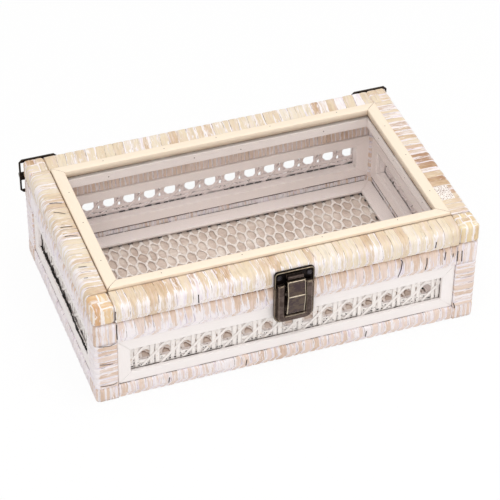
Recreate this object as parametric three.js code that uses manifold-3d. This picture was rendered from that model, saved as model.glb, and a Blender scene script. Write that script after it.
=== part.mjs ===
// Display box: a rattan-wrapped case with cane windows, a hinged glazed lid and a sprung latch.
// Units are millimetres. X runs along the length, the latch faces -Y and Z points up.
// The origin lies at table level, in the middle of the footprint of the whole box.

import * as THREE from 'three';
import { mergeVertices } from 'three/addons/utils/BufferGeometryUtils.js';
import Module from 'manifold-3d';

const wasm = await Module();
wasm.setup();

// Case
const boxLength = 304;
const boxDepth = 190.5;
const baseHeight = 73.3;
const seatGap = 0.3;
const cutOverrun = 1;
const weldTolerance = 0.0001;

// Wrapped posts and rails of the base
const postWidth = 17.5;
const postCornerRadius = 4;
const postInnerChamfer = 9.2;
const postFluteCount = 4;
const postFluteDepth = 0.7;
const postFluteHalfWidth = 0.6;
const railThickness = 14;
const railEdgeRadius = 3;
const topRailHeight = 19;
const bottomRailHeight = 12.5;
const standingCut = 0.5;

// Rattan peel wound on the rails and posts
const peelPitch = 11.2;
const peelThickness = 0.7;
const peelLapShare = 0.86;
const leadTurns = 2;

// Cane windows and the mouldings that hold them
const outerMouldingRecess = 1.8;
const outerMouldingThickness = 3;
const caneThickness = 1.8;
const innerFaceDepth = 15;
const innerBoardThickness = 3;
const innerBoardRise = 1.5;
const upperStripWidth = 8.5;
const lowerStripWidth = 10.7;
const frontWindowDrop = 1.9;
const stileWidth = 9.8;

// Cane mesh: the back panel was cut from a slightly coarser sheet
const canePitch = 16.1;
const backCanePitch = 17.1;
const backHoleRise = 1.5;
const caneHoleWidth = 8.8;
const caneHoleFlatShare = 0.414;
const caneSlitWidth = 1.3;
const caneSlitLength = 4.4;

// Floor
const floorBoardThickness = 4;
const floorCaneThickness = 1.6;
const floorMouldingThickness = 2.5;
const floorMouldingWidth = 12.5;
const floorMouldingEase = 0.8;

// Lid
const lidThickness = 16;
const lidRoundRadius = 5.5;
const lidBackRoundRadius = 3.5;
const lidLowerRadius = 2.2;
const lidCornerRadius = 6.5;
const lidCornerLength = 19;
const lidFrontRailWidth = 18;
const lidBackRailWidth = 20.7;
const lidSideRailWidth = 16.7;
const glassThickness = 2.5;
const glassTopBelowLid = 3.4;
const glassEdgeClearance = 0.6;
const frontBeadWidth = 8;
const sideBeadWidth = 9;
const beadHeight = 5.8;
const beadShoulderShare = 0.4;
const beadArcSteps = 8;
const beadCrownPower = 0.5;
const glassRestHeight = 8.4;
const mitreGap = 0.4;

// Hinges
const hingeLength = 31;
const hingeOverhang = 2.9;
const hingeLeafHeight = 15.6;
const hingeLeafThickness = 1.2;
const hingeLeafRadius = 2.5;
const hingeWindowWidth = 6;
const hingeWindowRim = 1.4;
const hingeKnuckleRadius = 2.2;
const hingeKnuckleCount = 5;
const hingePinRadius = 1;
const pinClearance = 0.15;

// Latch
const latchCentreX = 1.5;
const latchWidth = 31.5;
const latchPlateThickness = 1.2;
const latchRimWidth = 1.4;
const latchRimHeight = 0.9;
const latchDrop = 32.8;
const latchLowerRadius = 7;
const catchHeight = 15;
const catchCornerRadius = 3;
const catchHumpHalfWidth = 6.2;
const catchHumpHeight = 3.1;
const catchHumpProud = 5.2;
const catchHumpEase = 0.9;
const catchTongueHalfWidth = 4.8;
const catchTongueThickness = 1.4;
const catchBarbReach = 0.9;
const catchBarbHeight = 1.8;
const catchScrewInset = 4.05;
const catchScrewDrop = 5.7;
const housingChannelWidth = 0.8;
const housingHeight = 3.9;
const housingBevel = 0.8;
const housingRadius = 5;
const housingWebWidth = 5.4;
const housingRise = 4.2;
const leverSlotClearance = 1.2;
const leverHalfWidth = 7;
const leverThickness = 1.3;
const leverEarThickness = 1.2;
const leverEarRadius = 2;
const leverPinProud = 3.8;
const leverPinRadius = 0.9;
const leverPinBed = 3.2;
const leverPinDrop = 4.9;
const leverTopRise = 8.2;
const leverTopProud = 6.7;
const leverRidgeProud = 8.6;
const leverFootProud = 6.2;
const leverFootDrop = 22.5;
const leverLipReach = 2.3;
const leverLipThickness = 1.2;

// Latch spring
const springWireRadius = 0.25;
const springCoilRadius = 1.5;
const springPitch = 1.1;
const springTurns = 5;
const springStepsPerTurn = 8;
const springWireSides = 5;
const springLegDrop = 4;

// Screws of the catch plate
const screwHeadRadius = 2.1;
const screwHeadHeight = 0.9;
const screwShankRadius = 1.1;
const screwShankLength = 8;

const roundSides = 16;

// Heights and depths that follow from the sizes above
const topRailLow = baseHeight - topRailHeight;
const panelLow = bottomRailHeight + seatGap;
const panelHigh = topRailLow - seatGap;
const windowLow = panelLow + lowerStripWidth;
const windowHigh = panelHigh - upperStripWidth;
const caneDepth = outerMouldingRecess + outerMouldingThickness + seatGap;
const innerMouldingDepth = caneDepth + caneThickness + seatGap;
const floorCaneLow = floorBoardThickness + seatGap;
const floorMouldingLow = floorCaneLow + floorCaneThickness + seatGap;
const lidLow = baseHeight + seatGap;
const lidHigh = lidLow + lidThickness;
const glassHigh = lidHigh - glassTopBelowLid;
const glassLow = glassHigh - glassThickness;
const beadLow = glassHigh + seatGap;
const glassRestHigh = glassLow - seatGap;
const hingeAxisZ = baseHeight + seatGap / 2;
const hingeAxisY = boxDepth / 2 + seatGap + hingeKnuckleRadius;
const latchSeatProud = seatGap;
const latchFaceProud = latchSeatProud + latchPlateThickness;
const housingProud = latchFaceProud + housingHeight;
const latchTop = baseHeight - seatGap;
const leverPinZ = latchTop - leverPinDrop;
const leverCrest = latchTop + leverTopRise;
const leverSlotHalfWidth = leverHalfWidth + leverSlotClearance;
const catchHumpLow = leverCrest + seatGap;
const catchHumpHigh = catchHumpLow + catchHumpHeight;
const housingInset = latchRimWidth + housingChannelWidth;

const finishes = {
  peel: { color: 0xe2cdb0, roughness: 0.62, metalness: 0 },
  lidPeel: { color: 0xe6d2a8, roughness: 0.6, metalness: 0 },
  moulding: { color: 0xefe6df, roughness: 0.6, metalness: 0 },
  bead: { color: 0xfae8cf, roughness: 0.5, metalness: 0 },
  cane: { color: 0xe9e0d8, roughness: 0.7, metalness: 0 },
  board: { color: 0xb8a594, roughness: 0.75, metalness: 0 },
  glass: { color: 0xf4f7f7, roughness: 0.03, metalness: 0 },
  bronze: { color: 0x574a3f, roughness: 0.4, metalness: 0.9 },
  steel: { color: 0x8d8780, roughness: 0.35, metalness: 0.9 }
};

// The four sides of the box. Each is drawn as if it were the front, then turned into place.
// The front's window was set a little low, and the back's row of holes sits high in its window.
const sides = [
  {
    name: 'front', turn: 0, reach: boxDepth / 2, span: boxLength,
    lidRail: lidFrontRailWidth, round: lidRoundRadius, bead: frontBeadWidth,
    pitch: canePitch, windowDrop: frontWindowDrop, holeRise: 0
  },
  {
    name: 'right', turn: Math.PI / 2, reach: boxLength / 2, span: boxDepth,
    lidRail: lidSideRailWidth, round: lidBackRoundRadius, bead: sideBeadWidth,
    pitch: canePitch, windowDrop: 0, holeRise: 0
  },
  {
    name: 'back', turn: Math.PI, reach: boxDepth / 2, span: boxLength,
    lidRail: lidBackRailWidth, round: lidBackRoundRadius, bead: frontBeadWidth,
    pitch: backCanePitch, windowDrop: 0, holeRise: backHoleRise
  },
  {
    name: 'left', turn: -Math.PI / 2, reach: boxLength / 2, span: boxDepth,
    lidRail: lidSideRailWidth, round: lidRoundRadius, bead: sideBeadWidth,
    pitch: canePitch, windowDrop: 0, holeRise: 0
  }
];

const box = new THREE.Group();

// Solids and meshes

function toSolid(geometry) {
  const bare = geometry.clone();
  bare.deleteAttribute('normal');
  bare.deleteAttribute('uv');
  const merged = mergeVertices(bare, weldTolerance);
  const vertProperties = new Float32Array(merged.attributes.position.array);
  const triVerts = new Uint32Array(merged.index.array);
  return new wasm.Manifold(new wasm.Mesh({ numProp: 3, vertProperties, triVerts }));
}

function toGeometry(solid) {
  const mesh = solid.getMesh();
  const geometry = new THREE.BufferGeometry();
  geometry.setAttribute('position', new THREE.BufferAttribute(mesh.vertProperties.slice(), 3));
  geometry.setIndex(new THREE.BufferAttribute(mesh.triVerts.slice(), 1));
  geometry.computeVertexNormals();
  return geometry;
}

function joined(...geometries) {
  return toGeometry(geometries.map(toSolid).reduce((whole, next) => whole.add(next)));
}

function cut(geometry, ...tools) {
  return toGeometry(tools.map(toSolid).reduce((whole, tool) => whole.subtract(tool), toSolid(geometry)));
}

function common(...geometries) {
  return toGeometry(geometries.map(toSolid).reduce((whole, next) => whole.intersect(next)));
}

function addPiece(group, name, geometry, finish) {
  const mesh = new THREE.Mesh(geometry, new THREE.MeshStandardMaterial(finishes[finish]));
  mesh.name = name;
  group.add(mesh);
  return mesh;
}

function block(x0, x1, y0, y1, z0, z1) {
  const geometry = new THREE.BoxGeometry(x1 - x0, y1 - y0, z1 - z0);
  return geometry.translate((x0 + x1) / 2, (y0 + y1) / 2, (z0 + z1) / 2);
}

function outline(points) {
  return new THREE.Shape(points.map(([x, y]) => new THREE.Vector2(x, y)));
}

// A flat shape drawn in X and Z, thickened between two depths behind a side's outer face.
function upright(shape, side, depthNear, depthFar) {
  const geometry = new THREE.ExtrudeGeometry(shape, { depth: depthFar - depthNear, bevelEnabled: false });
  return geometry.rotateX(Math.PI / 2).translate(0, depthFar - side.reach, 0);
}

// A section drawn in Y and Z, carried along X.
function alongX(shape, x0, x1) {
  const geometry = new THREE.ExtrudeGeometry(shape, { depth: x1 - x0, bevelEnabled: false });
  return geometry.applyMatrix4(sectionToX).translate(x0, 0, 0);
}

const sectionToX = new THREE.Matrix4().makeBasis(
  new THREE.Vector3(0, 1, 0),
  new THREE.Vector3(0, 0, 1),
  new THREE.Vector3(1, 0, 0)
);

function roundBarX(radius, x0, x1, y, z) {
  const geometry = new THREE.CylinderGeometry(radius, radius, x1 - x0, roundSides);
  return geometry.rotateZ(Math.PI / 2).translate((x0 + x1) / 2, y, z);
}

// Points of a rounded rectangle, counterclockwise from the low near corner.
// Each corner has a radius, which may be zero, and as many arc steps as it needs.
function roundedSection(near, far, low, high, radii, steps) {
  const corners = [
    { x: near, y: low, sx: 1, sy: 1, start: Math.PI },
    { x: far, y: low, sx: -1, sy: 1, start: 1.5 * Math.PI },
    { x: far, y: high, sx: -1, sy: -1, start: 0 },
    { x: near, y: high, sx: 1, sy: -1, start: 0.5 * Math.PI }
  ];
  return corners.flatMap((corner, index) => {
    const radius = radii[index];
    const count = steps[index];
    if (radius === 0) {
      return [[corner.x, corner.y]];
    }
    return Array.from({ length: count + 1 }, (_, step) => {
      const angle = corner.start + (step / count) * (Math.PI / 2);
      return [
        corner.x + corner.sx * radius + radius * Math.cos(angle),
        corner.y + corner.sy * radius + radius * Math.sin(angle)
      ];
    });
  });
}

// Wound peel

// A bar wound with peel along +Z. Each turn climbs one pitch round the section, and its edge
// laps over the turn before it. The ends run past the bar, to be trimmed flat.
function woundBar(section, start, end) {
  const turns = Math.floor((end - start) / peelPitch);
  const pitch = (end - start) / turns;
  const columns = section.length;
  const rings = 2 * (turns + 2 * leadTurns);
  const xs = section.map(point => point[0]);
  const ys = section.map(point => point[1]);
  const middleX = (Math.min(...xs) + Math.max(...xs)) / 2;
  const middleY = (Math.min(...ys) + Math.max(...ys)) / 2;
  const shrinkX = 1 - (2 * peelThickness) / (Math.max(...xs) - Math.min(...xs));
  const shrinkY = 1 - (2 * peelThickness) / (Math.max(...ys) - Math.min(...ys));
  const positions = [];
  for (let ring = 0; ring < rings; ring += 1) {
    const low = ring % 2 === 1;
    for (let column = 0; column < columns; column += 1) {
      const [x, y] = section[column];
      const turn = Math.floor(ring / 2) - leadTurns + (low ? peelLapShare : 0) + column / columns;
      positions.push(middleX + (x - middleX) * (low ? shrinkX : 1));
      positions.push(middleY + (y - middleY) * (low ? shrinkY : 1));
      positions.push(start + pitch * turn);
    }
  }
  const at = (ring, column) => ring * columns + column;
  const index = [];
  const quad = (a, b, c, d) => index.push(a, b, c, a, c, d);
  for (let ring = 0; ring < rings - 1; ring += 1) {
    for (let column = 0; column < columns - 1; column += 1) {
      quad(at(ring, column), at(ring, column + 1), at(ring + 1, column + 1), at(ring + 1, column));
    }
    if (ring + 3 < rings) {
      quad(at(ring, columns - 1), at(ring + 2, 0), at(ring + 3, 0), at(ring + 1, columns - 1));
    }
  }
  const firstLoop = section.map((_, column) => at(0, column)).concat(at(2, 0), at(1, 0));
  const lastLoop = section.map((_, column) => at(rings - 1, column));
  lastLoop.push(at(rings - 2, columns - 1), at(rings - 3, columns - 1));
  const firstTip = rings * columns;
  const lastTip = firstTip + 1;
  positions.push(middleX, middleY, start - pitch * (leadTurns + 1));
  positions.push(middleX, middleY, end + pitch * (leadTurns + 2));
  firstLoop.forEach((point, i) => index.push(firstTip, firstLoop[(i + 1) % firstLoop.length], point));
  lastLoop.forEach((point, i) => index.push(lastTip, point, lastLoop[(i + 1) % lastLoop.length]));
  const geometry = new THREE.BufferGeometry();
  geometry.setAttribute('position', new THREE.Float32BufferAttribute(positions, 3));
  geometry.setIndex(index);
  return geometry;
}

// A wound rail along X, whose section is drawn in Y and Z, trimmed to a box.
function woundRail(section, x0, x1, low) {
  const bar = woundBar(section, x0, x1).applyMatrix4(sectionToX);
  const ys = section.map(point => point[0]);
  const zs = section.map(point => point[1]);
  const near = Math.min(...ys) - cutOverrun;
  const far = Math.max(...ys) + cutOverrun;
  return common(bar, block(x0, x1, near, far, low, Math.max(...zs) + cutOverrun));
}

// Corner posts

// The post's section, with its outer corner at the origin. Flutes are the gaps between the
// strips laid upright over the post's two ends.
function postOutline(fluted) {
  const points = [];
  const faceLength = postWidth - postCornerRadius;
  const faceFlutes = fluted ? postFluteCount : 0;
  const fluteAt = i => postCornerRadius + (faceLength * (i + 0.5)) / postFluteCount;
  const flutes = Array.from({ length: faceFlutes }, (_, i) => fluteAt(i));
  const arc = Array.from({ length: 3 }, (_, i) => Math.PI + (i / 2) * (Math.PI / 2));
  arc.forEach(angle => {
    points.push([postCornerRadius * (1 + Math.cos(angle)), postCornerRadius * (1 + Math.sin(angle))]);
  });
  flutes.forEach(along => {
    points.push([along - postFluteHalfWidth, 0], [along, postFluteDepth], [along + postFluteHalfWidth, 0]);
  });
  points.push([postWidth, 0]);
  points.push([postWidth, postWidth - postInnerChamfer]);
  points.push([postWidth - postInnerChamfer, postWidth]);
  points.push([0, postWidth]);
  flutes.reverse().forEach(along => {
    points.push([0, along + postFluteHalfWidth], [postFluteDepth, along], [0, along - postFluteHalfWidth]);
  });
  return points;
}

function postGeometry() {
  const wound = woundBar(postOutline(false), bottomRailHeight, topRailLow);
  const reach = postWidth + cutOverrun;
  const wrapped = common(
    wound,
    block(-cutOverrun, reach, -cutOverrun, reach, bottomRailHeight - cutOverrun, topRailLow + cutOverrun)
  );
  const endShape = outline(postOutline(true));
  const foot = new THREE.ExtrudeGeometry(endShape, { depth: bottomRailHeight, bevelEnabled: false });
  const head = new THREE.ExtrudeGeometry(endShape, { depth: topRailHeight, bevelEnabled: false });
  return joined(wrapped, foot, head.translate(0, 0, topRailLow));
}

function addPosts(group) {
  const corners = [
    { name: 'post_front_left', x: -boxLength / 2, y: -boxDepth / 2, turn: 0 },
    { name: 'post_front_right', x: boxLength / 2, y: -boxDepth / 2, turn: Math.PI / 2 },
    { name: 'post_back_right', x: boxLength / 2, y: boxDepth / 2, turn: Math.PI },
    { name: 'post_back_left', x: -boxLength / 2, y: boxDepth / 2, turn: -Math.PI / 2 }
  ];
  corners.forEach(corner => {
    const post = addPiece(group, corner.name, postGeometry(), 'peel');
    post.position.set(corner.x, corner.y, 0);
    post.rotation.z = corner.turn;
  });
}

// Walls: two wrapped rails, a cane panel and the mouldings on its two faces

function rectangle(halfWidth, low, high) {
  return [[-halfWidth, low], [halfWidth, low], [halfWidth, high], [-halfWidth, high]];
}

function ringShape(outer, inner) {
  const shape = outline(outer);
  shape.holes.push(new THREE.Path(inner.map(([x, y]) => new THREE.Vector2(x, y))));
  return shape;
}

function caneHole(x, z) {
  const half = caneHoleWidth / 2;
  const flat = half * caneHoleFlatShare;
  return [
    [x - flat, z - half], [x + flat, z - half], [x + half, z - flat], [x + half, z + flat],
    [x + flat, z + half], [x - flat, z + half], [x - half, z + flat], [x - half, z - flat]
  ];
}

function caneSlit(x, z, length, width) {
  return [[x, z - length / 2], [x + width / 2, z], [x, z + length / 2], [x - width / 2, z]];
}

// One row of eight-sided holes shows in the window, with a narrow slit between each two
// holes and one above and below each hole, where the pairs of strands part.
function windowShape(side, halfWidth) {
  return rectangle(halfWidth, windowLow - side.windowDrop, windowHigh - side.windowDrop);
}

function canePanel(side) {
  const halfWidth = side.span / 2 - postWidth - seatGap;
  const shape = outline(rectangle(halfWidth, panelLow, panelHigh));
  const count = Math.round((2 * (halfWidth - stileWidth)) / side.pitch);
  const middle = (windowLow + windowHigh) / 2 - side.windowDrop + side.holeRise;
  const addHole = points => shape.holes.push(new THREE.Path(points.map(([x, z]) => new THREE.Vector2(x, z))));
  for (let i = 0; i < count; i += 1) {
    const x = (i - (count - 1) / 2) * side.pitch;
    addHole(caneHole(x, middle));
    addHole(caneSlit(x, middle + side.pitch / 2, caneSlitWidth, caneSlitLength));
    addHole(caneSlit(x, middle - side.pitch / 2, caneSlitWidth, caneSlitLength));
    if (i > 0) {
      addHole(caneSlit(x - side.pitch / 2, middle, caneSlitLength, caneSlitWidth));
    }
  }
  return upright(shape, side, caneDepth, caneDepth + caneThickness);
}

function outerMoulding(side) {
  const halfWidth = side.span / 2 - postWidth - seatGap;
  const shape = ringShape(
    rectangle(halfWidth, panelLow, panelHigh),
    windowShape(side, halfWidth - stileWidth)
  );
  return upright(shape, side, outerMouldingRecess, outerMouldingRecess + outerMouldingThickness);
}

// The inner moulding is a batten between the posts with a wider face board on it, which
// reaches past the posts' inner corners and meets the boards of the next walls.
function innerMoulding(side) {
  const battenHalf = side.span / 2 - postWidth - seatGap;
  const boardHalf = side.span / 2 - innerFaceDepth - seatGap;
  const windowOpening = windowShape(side, battenHalf - stileWidth);
  const batten = ringShape(rectangle(battenHalf, panelLow, panelHigh), windowOpening);
  const board = ringShape(rectangle(boardHalf, panelLow + innerBoardRise, panelHigh), windowOpening);
  const boardDepth = innerFaceDepth - innerBoardThickness;
  return joined(
    upright(batten, side, innerMouldingDepth, boardDepth),
    upright(board, side, boardDepth, innerFaceDepth)
  );
}

function baseRail(side, low, high, floorLevel) {
  const near = -side.reach;
  const halfLength = side.span / 2 - postWidth - seatGap;
  const radii = [railEdgeRadius, 0, 0, railEdgeRadius];
  const section = roundedSection(near, near + railThickness, low, high, radii, [1, 1, 1, 1]);
  return woundRail(section, -halfLength, halfLength, floorLevel);
}

function addWall(side) {
  const wall = new THREE.Group();
  wall.rotation.z = side.turn;
  const topRail = baseRail(side, topRailLow, baseHeight, topRailLow - cutOverrun);
  const bottomRail = baseRail(side, -standingCut, bottomRailHeight, 0);
  addPiece(wall, `${side.name}_top_rail`, topRail, 'peel');
  addPiece(wall, `${side.name}_bottom_rail`, bottomRail, 'peel');
  addPiece(wall, `${side.name}_cane_panel`, canePanel(side), 'cane');
  addPiece(wall, `${side.name}_outer_moulding`, outerMoulding(side), 'moulding');
  addPiece(wall, `${side.name}_inner_moulding`, innerMoulding(side), 'moulding');
  box.add(wall);
}

// Floor: a board, a cane sheet and a flat mitred moulding round its edge

function addFloor(group) {
  const halfX = boxLength / 2 - railThickness - seatGap;
  const halfY = boxDepth / 2 - railThickness - seatGap;
  const sheet = (low, thickness) => block(-halfX, halfX, -halfY, halfY, low, low + thickness);
  addPiece(group, 'floor_board', sheet(0, floorBoardThickness), 'board');
  addPiece(group, 'floor_cane', sheet(floorCaneLow, floorCaneThickness), 'cane');
  const high = floorMouldingLow + floorMouldingThickness;
  const profile = [
    [0, floorMouldingLow], [floorMouldingWidth, floorMouldingLow],
    [floorMouldingWidth, high - floorMouldingEase], [floorMouldingWidth - floorMouldingEase, high], [0, high]
  ];
  sides.forEach(side => {
    const turned = new THREE.Group();
    turned.rotation.z = side.turn;
    const strip = mitredSide(side, profile, () => railThickness + seatGap, () => floorMouldingWidth);
    addPiece(turned, `floor_${side.name}_moulding`, strip, 'moulding');
    group.add(turned);
  });
}

// Lid

function lidRailSection(side) {
  const radii = [lidLowerRadius, 0, 0, side.round];
  return roundedSection(-side.reach, -side.reach + side.lidRail, lidLow, lidHigh, radii, [1, 1, 1, 2]);
}

// Front and back rails fit between the side rails, and take the catch plate's screws.
function shortLidRail(side) {
  const halfLength = boxLength / 2 - lidSideRailWidth - seatGap;
  return woundRail(lidRailSection(side), -halfLength, halfLength, lidLow - cutOverrun);
}

// Side rails run the full depth of the lid. Their ends are the lid's rounded corners.
function longLidRail(side) {
  const half = side.span / 2;
  const woundHalf = half - lidCornerLength;
  const near = -side.reach;
  const far = near + side.lidRail;
  const wound = woundRail(lidRailSection(side), -woundHalf, woundHalf, lidLow - cutOverrun);
  const planRadii = [lidCornerRadius, lidCornerRadius, 0, 0];
  const plan = outline(roundedSection(-half, half, near, far, planRadii, [4, 4, 1, 1]));
  const tall = new THREE.ExtrudeGeometry(plan, { depth: lidThickness, bevelEnabled: false });
  const faceRound = alongX(outline(lidRailSection(side)), -half, half);
  const { before, after } = neighbours(side);
  const endRadii = [lidLowerRadius, lidLowerRadius, after.round, before.round];
  const endShape = outline(roundedSection(-half, half, lidLow, lidHigh, endRadii, [1, 1, 2, 2]));
  const endRound = upright(endShape, side, 0, side.lidRail);
  const whole = common(tall.translate(0, 0, lidLow), faceRound, endRound);
  const middle = block(
    -woundHalf, woundHalf, near - cutOverrun, far + cutOverrun, lidLow - cutOverrun, lidHigh + cutOverrun
  );
  return joined(wound, cut(whole, middle));
}

// A strip whose profile is drawn inward from its outer edge, cut at both ends on the line
// from its outer corner to the inner corner that it shares with the next strip.
function mitredStrip(profile, width, outerStart, outerEnd, nextStart, nextEnd) {
  const faces = THREE.ShapeUtils.triangulateShape(profile.map(([u, v]) => new THREE.Vector2(u, v)), []);
  const count = profile.length;
  const positions = [];
  [[outerStart, nextStart], [outerEnd, -nextEnd]].forEach(([end, shift]) => {
    profile.forEach(([u, v]) => positions.push(end + (shift * u) / width, u, v));
  });
  const index = [];
  faces.forEach(([a, b, c]) => index.push(a, c, b, count + a, count + b, count + c));
  for (let i = 0; i < count; i += 1) {
    const next = (i + 1) % count;
    index.push(i, next, count + next, i, count + next, count + i);
  }
  const geometry = new THREE.BufferGeometry();
  geometry.setAttribute('position', new THREE.Float32BufferAttribute(positions, 3));
  geometry.setIndex(index);
  return geometry;
}

function neighbours(side) {
  const place = sides.indexOf(side);
  return { before: sides[(place + 3) % 4], after: sides[(place + 1) % 4] };
}

// One side's strip of a frame that lies at an inset from each outer face of the box.
function mitredSide(side, profile, insetOf, widthOf) {
  const { before, after } = neighbours(side);
  const start = -before.reach + insetOf(before) + mitreGap / 2;
  const end = after.reach - insetOf(after) - mitreGap / 2;
  const strip = mitredStrip(profile, widthOf(side), start, end, widthOf(before), widthOf(after));
  return strip.translate(0, -side.reach + insetOf(side), 0);
}

function lidStrip(side, profile) {
  return mitredSide(side, profile, each => each.lidRail + seatGap, each => each.bead);
}

// The bead over the glass has a flat crown with rounded edges, on low shoulders.
function beadProfile(side) {
  const shoulder = beadHeight * beadShoulderShare;
  const crown = beadHeight - shoulder;
  const points = [[0, beadLow], [side.bead, beadLow]];
  for (let step = 0; step <= beadArcSteps; step += 1) {
    const angle = (step / beadArcSteps) * Math.PI;
    const u = (side.bead / 2) * (1 + Math.cos(angle));
    points.push([u, beadLow + shoulder + crown * Math.sin(angle) ** beadCrownPower]);
  }
  return points;
}

function glassRestProfile(side) {
  const low = glassRestHigh - glassRestHeight;
  return [[0, low], [side.bead, low], [side.bead, glassRestHigh], [0, glassRestHigh]];
}

function glassGeometry() {
  const halfX = boxLength / 2 - lidSideRailWidth - glassEdgeClearance;
  const front = -boxDepth / 2 + lidFrontRailWidth + glassEdgeClearance;
  const back = boxDepth / 2 - lidBackRailWidth - glassEdgeClearance;
  return block(-halfX, halfX, front, back, glassLow, glassHigh);
}

function screwPlaces() {
  const outward = latchWidth / 2 - catchScrewInset;
  const z = lidLow + catchHeight - catchScrewDrop;
  return [
    { name: 'catch_screw_left', x: latchCentreX - outward, z },
    { name: 'catch_screw_right', x: latchCentreX + outward, z }
  ];
}

// A bar along Y between two distances proud of the front face. Negative ones lie inside it.
function frontRound(radius, x, z, proudFrom, proudTo) {
  const geometry = new THREE.CylinderGeometry(radius, radius, proudTo - proudFrom, roundSides);
  return geometry.translate(x, -boxDepth / 2 - (proudFrom + proudTo) / 2, z);
}

function addLid(group) {
  sides.forEach(side => {
    const turned = new THREE.Group();
    turned.rotation.z = side.turn;
    const isSide = side.name === 'left' || side.name === 'right';
    let rail = isSide ? longLidRail(side) : shortLidRail(side);
    if (side.name === 'front') {
      const holeRadius = screwShankRadius + pinClearance;
      const holeDepth = -screwShankLength - seatGap;
      const holes = screwPlaces().map(at => frontRound(holeRadius, at.x, at.z, holeDepth, cutOverrun));
      rail = cut(rail, ...holes);
    }
    addPiece(turned, `lid_${side.name}_rail`, rail, 'lidPeel');
    addPiece(turned, `lid_${side.name}_bead`, lidStrip(side, beadProfile(side)), 'bead');
    addPiece(turned, `lid_${side.name}_glass_rest`, lidStrip(side, glassRestProfile(side)), 'moulding');
    group.add(turned);
  });
  addPiece(group, 'lid_glass', glassGeometry(), 'glass');
}

// Hinges

// A leaf with a small bevel on its two free corners and a window at each end.
function hingeLeafPlate(inner, outer) {
  const half = hingeLength / 2;
  const direction = Math.sign(outer - inner);
  const shoulder = outer - direction * hingeLeafRadius;
  const back = boxDepth / 2 + seatGap;
  const corners = [
    [-half, inner], [half, inner], [half, shoulder], [half - hingeLeafRadius, outer],
    [hingeLeafRadius - half, outer], [-half, shoulder]
  ];
  const plate = new THREE.ExtrudeGeometry(outline(corners), { depth: hingeLeafThickness, bevelEnabled: false });
  plate.rotateX(Math.PI / 2).translate(0, back + hingeLeafThickness, 0);
  const near = inner + direction * (hingeKnuckleRadius + hingeWindowRim);
  const far = outer - direction * (hingeWindowRim + hingeLeafRadius / 2);
  const windows = [-1, 1].map(end => {
    const middle = end * (half - hingeWindowRim - hingeWindowWidth / 2);
    const left = middle - hingeWindowWidth / 2;
    const right = middle + hingeWindowWidth / 2;
    const depth = back + hingeLeafThickness + cutOverrun;
    return block(left, right, back - cutOverrun, depth, Math.min(near, far), Math.max(near, far));
  });
  return cut(plate, ...windows);
}

function knuckleSpans(parity) {
  const width = hingeLength / hingeKnuckleCount;
  return Array.from({ length: hingeKnuckleCount }, (_, i) => i)
    .filter(i => i % 2 === parity)
    .map(i => [-hingeLength / 2 + i * width, -hingeLength / 2 + (i + 1) * width]);
}

// One leaf with its own knuckles, cut back round the knuckles of the other leaf.
function hingeLeaf(parity, upward) {
  const back = boxDepth / 2 + seatGap;
  const outer = hingeAxisZ + upward * hingeLeafHeight;
  const plate = hingeLeafPlate(hingeAxisZ, outer);
  const halfGap = seatGap / 2;
  const barrels = knuckleSpans(parity).map(([a, b]) =>
    roundBarX(hingeKnuckleRadius, a + halfGap, b - halfGap, hingeAxisY, hingeAxisZ)
  );
  const clear = hingeKnuckleRadius + seatGap;
  const reliefs = knuckleSpans(1 - parity).map(([a, b]) =>
    block(a - halfGap, b + halfGap, back - cutOverrun, hingeAxisY + clear, hingeAxisZ - clear, hingeAxisZ + clear)
  );
  const bore = roundBarX(
    hingePinRadius + pinClearance, -hingeLength / 2 - cutOverrun, hingeLength / 2 + cutOverrun, hingeAxisY, hingeAxisZ
  );
  return cut(joined(cut(plate, ...reliefs), ...barrels), bore);
}

function addHinges(group) {
  const centre = boxLength / 2 + hingeOverhang - hingeLength / 2;
  [['left', -centre], ['right', centre]].forEach(([name, x]) => {
    const hinge = new THREE.Group();
    hinge.position.x = x;
    addPiece(hinge, `hinge_${name}_lid_leaf`, hingeLeaf(1, 1), 'bronze');
    addPiece(hinge, `hinge_${name}_base_leaf`, hingeLeaf(0, -1), 'bronze');
    const pin = roundBarX(hingePinRadius, -hingeLength / 2, hingeLength / 2, hingeAxisY, hingeAxisZ);
    addPiece(hinge, `hinge_${name}_pin`, pin, 'steel');
    group.add(hinge);
  });
}

// Latch

const frontSide = sides[0];

function latchSheet(shape, proudFrom, proudTo) {
  return upright(shape, frontSide, -proudTo, -proudFrom);
}

// The base plate's outline, with its lower corners rounded, drawn inward by an inset.
function basePlateOutline(inset, top) {
  const half = latchWidth / 2 - inset;
  const radius = latchLowerRadius - inset;
  const low = latchTop - latchDrop + inset;
  return roundedSection(-half, half, low, top, [radius, radius, 0, 0], [4, 4, 1, 1]);
}

function catchPlateOutline(inset, low) {
  const half = latchWidth / 2 - inset;
  const radius = catchCornerRadius - inset;
  const high = lidLow + catchHeight - inset;
  return roundedSection(-half, half, low, high, [0, 0, radius, radius], [1, 1, 3, 3]);
}

// The hump over the lever, from which the tongue hangs.
function catchHump() {
  const root = -boxDepth / 2 - latchSeatProud;
  const crown = -boxDepth / 2 - catchHumpProud;
  const section = outline([
    [crown, catchHumpLow + catchHumpEase], [crown + catchHumpEase, catchHumpLow], [root, catchHumpLow],
    [root, catchHumpHigh], [crown + catchHumpEase, catchHumpHigh], [crown, catchHumpHigh - catchHumpEase]
  ]);
  return alongX(section, -catchHumpHalfWidth, catchHumpHalfWidth);
}

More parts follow.
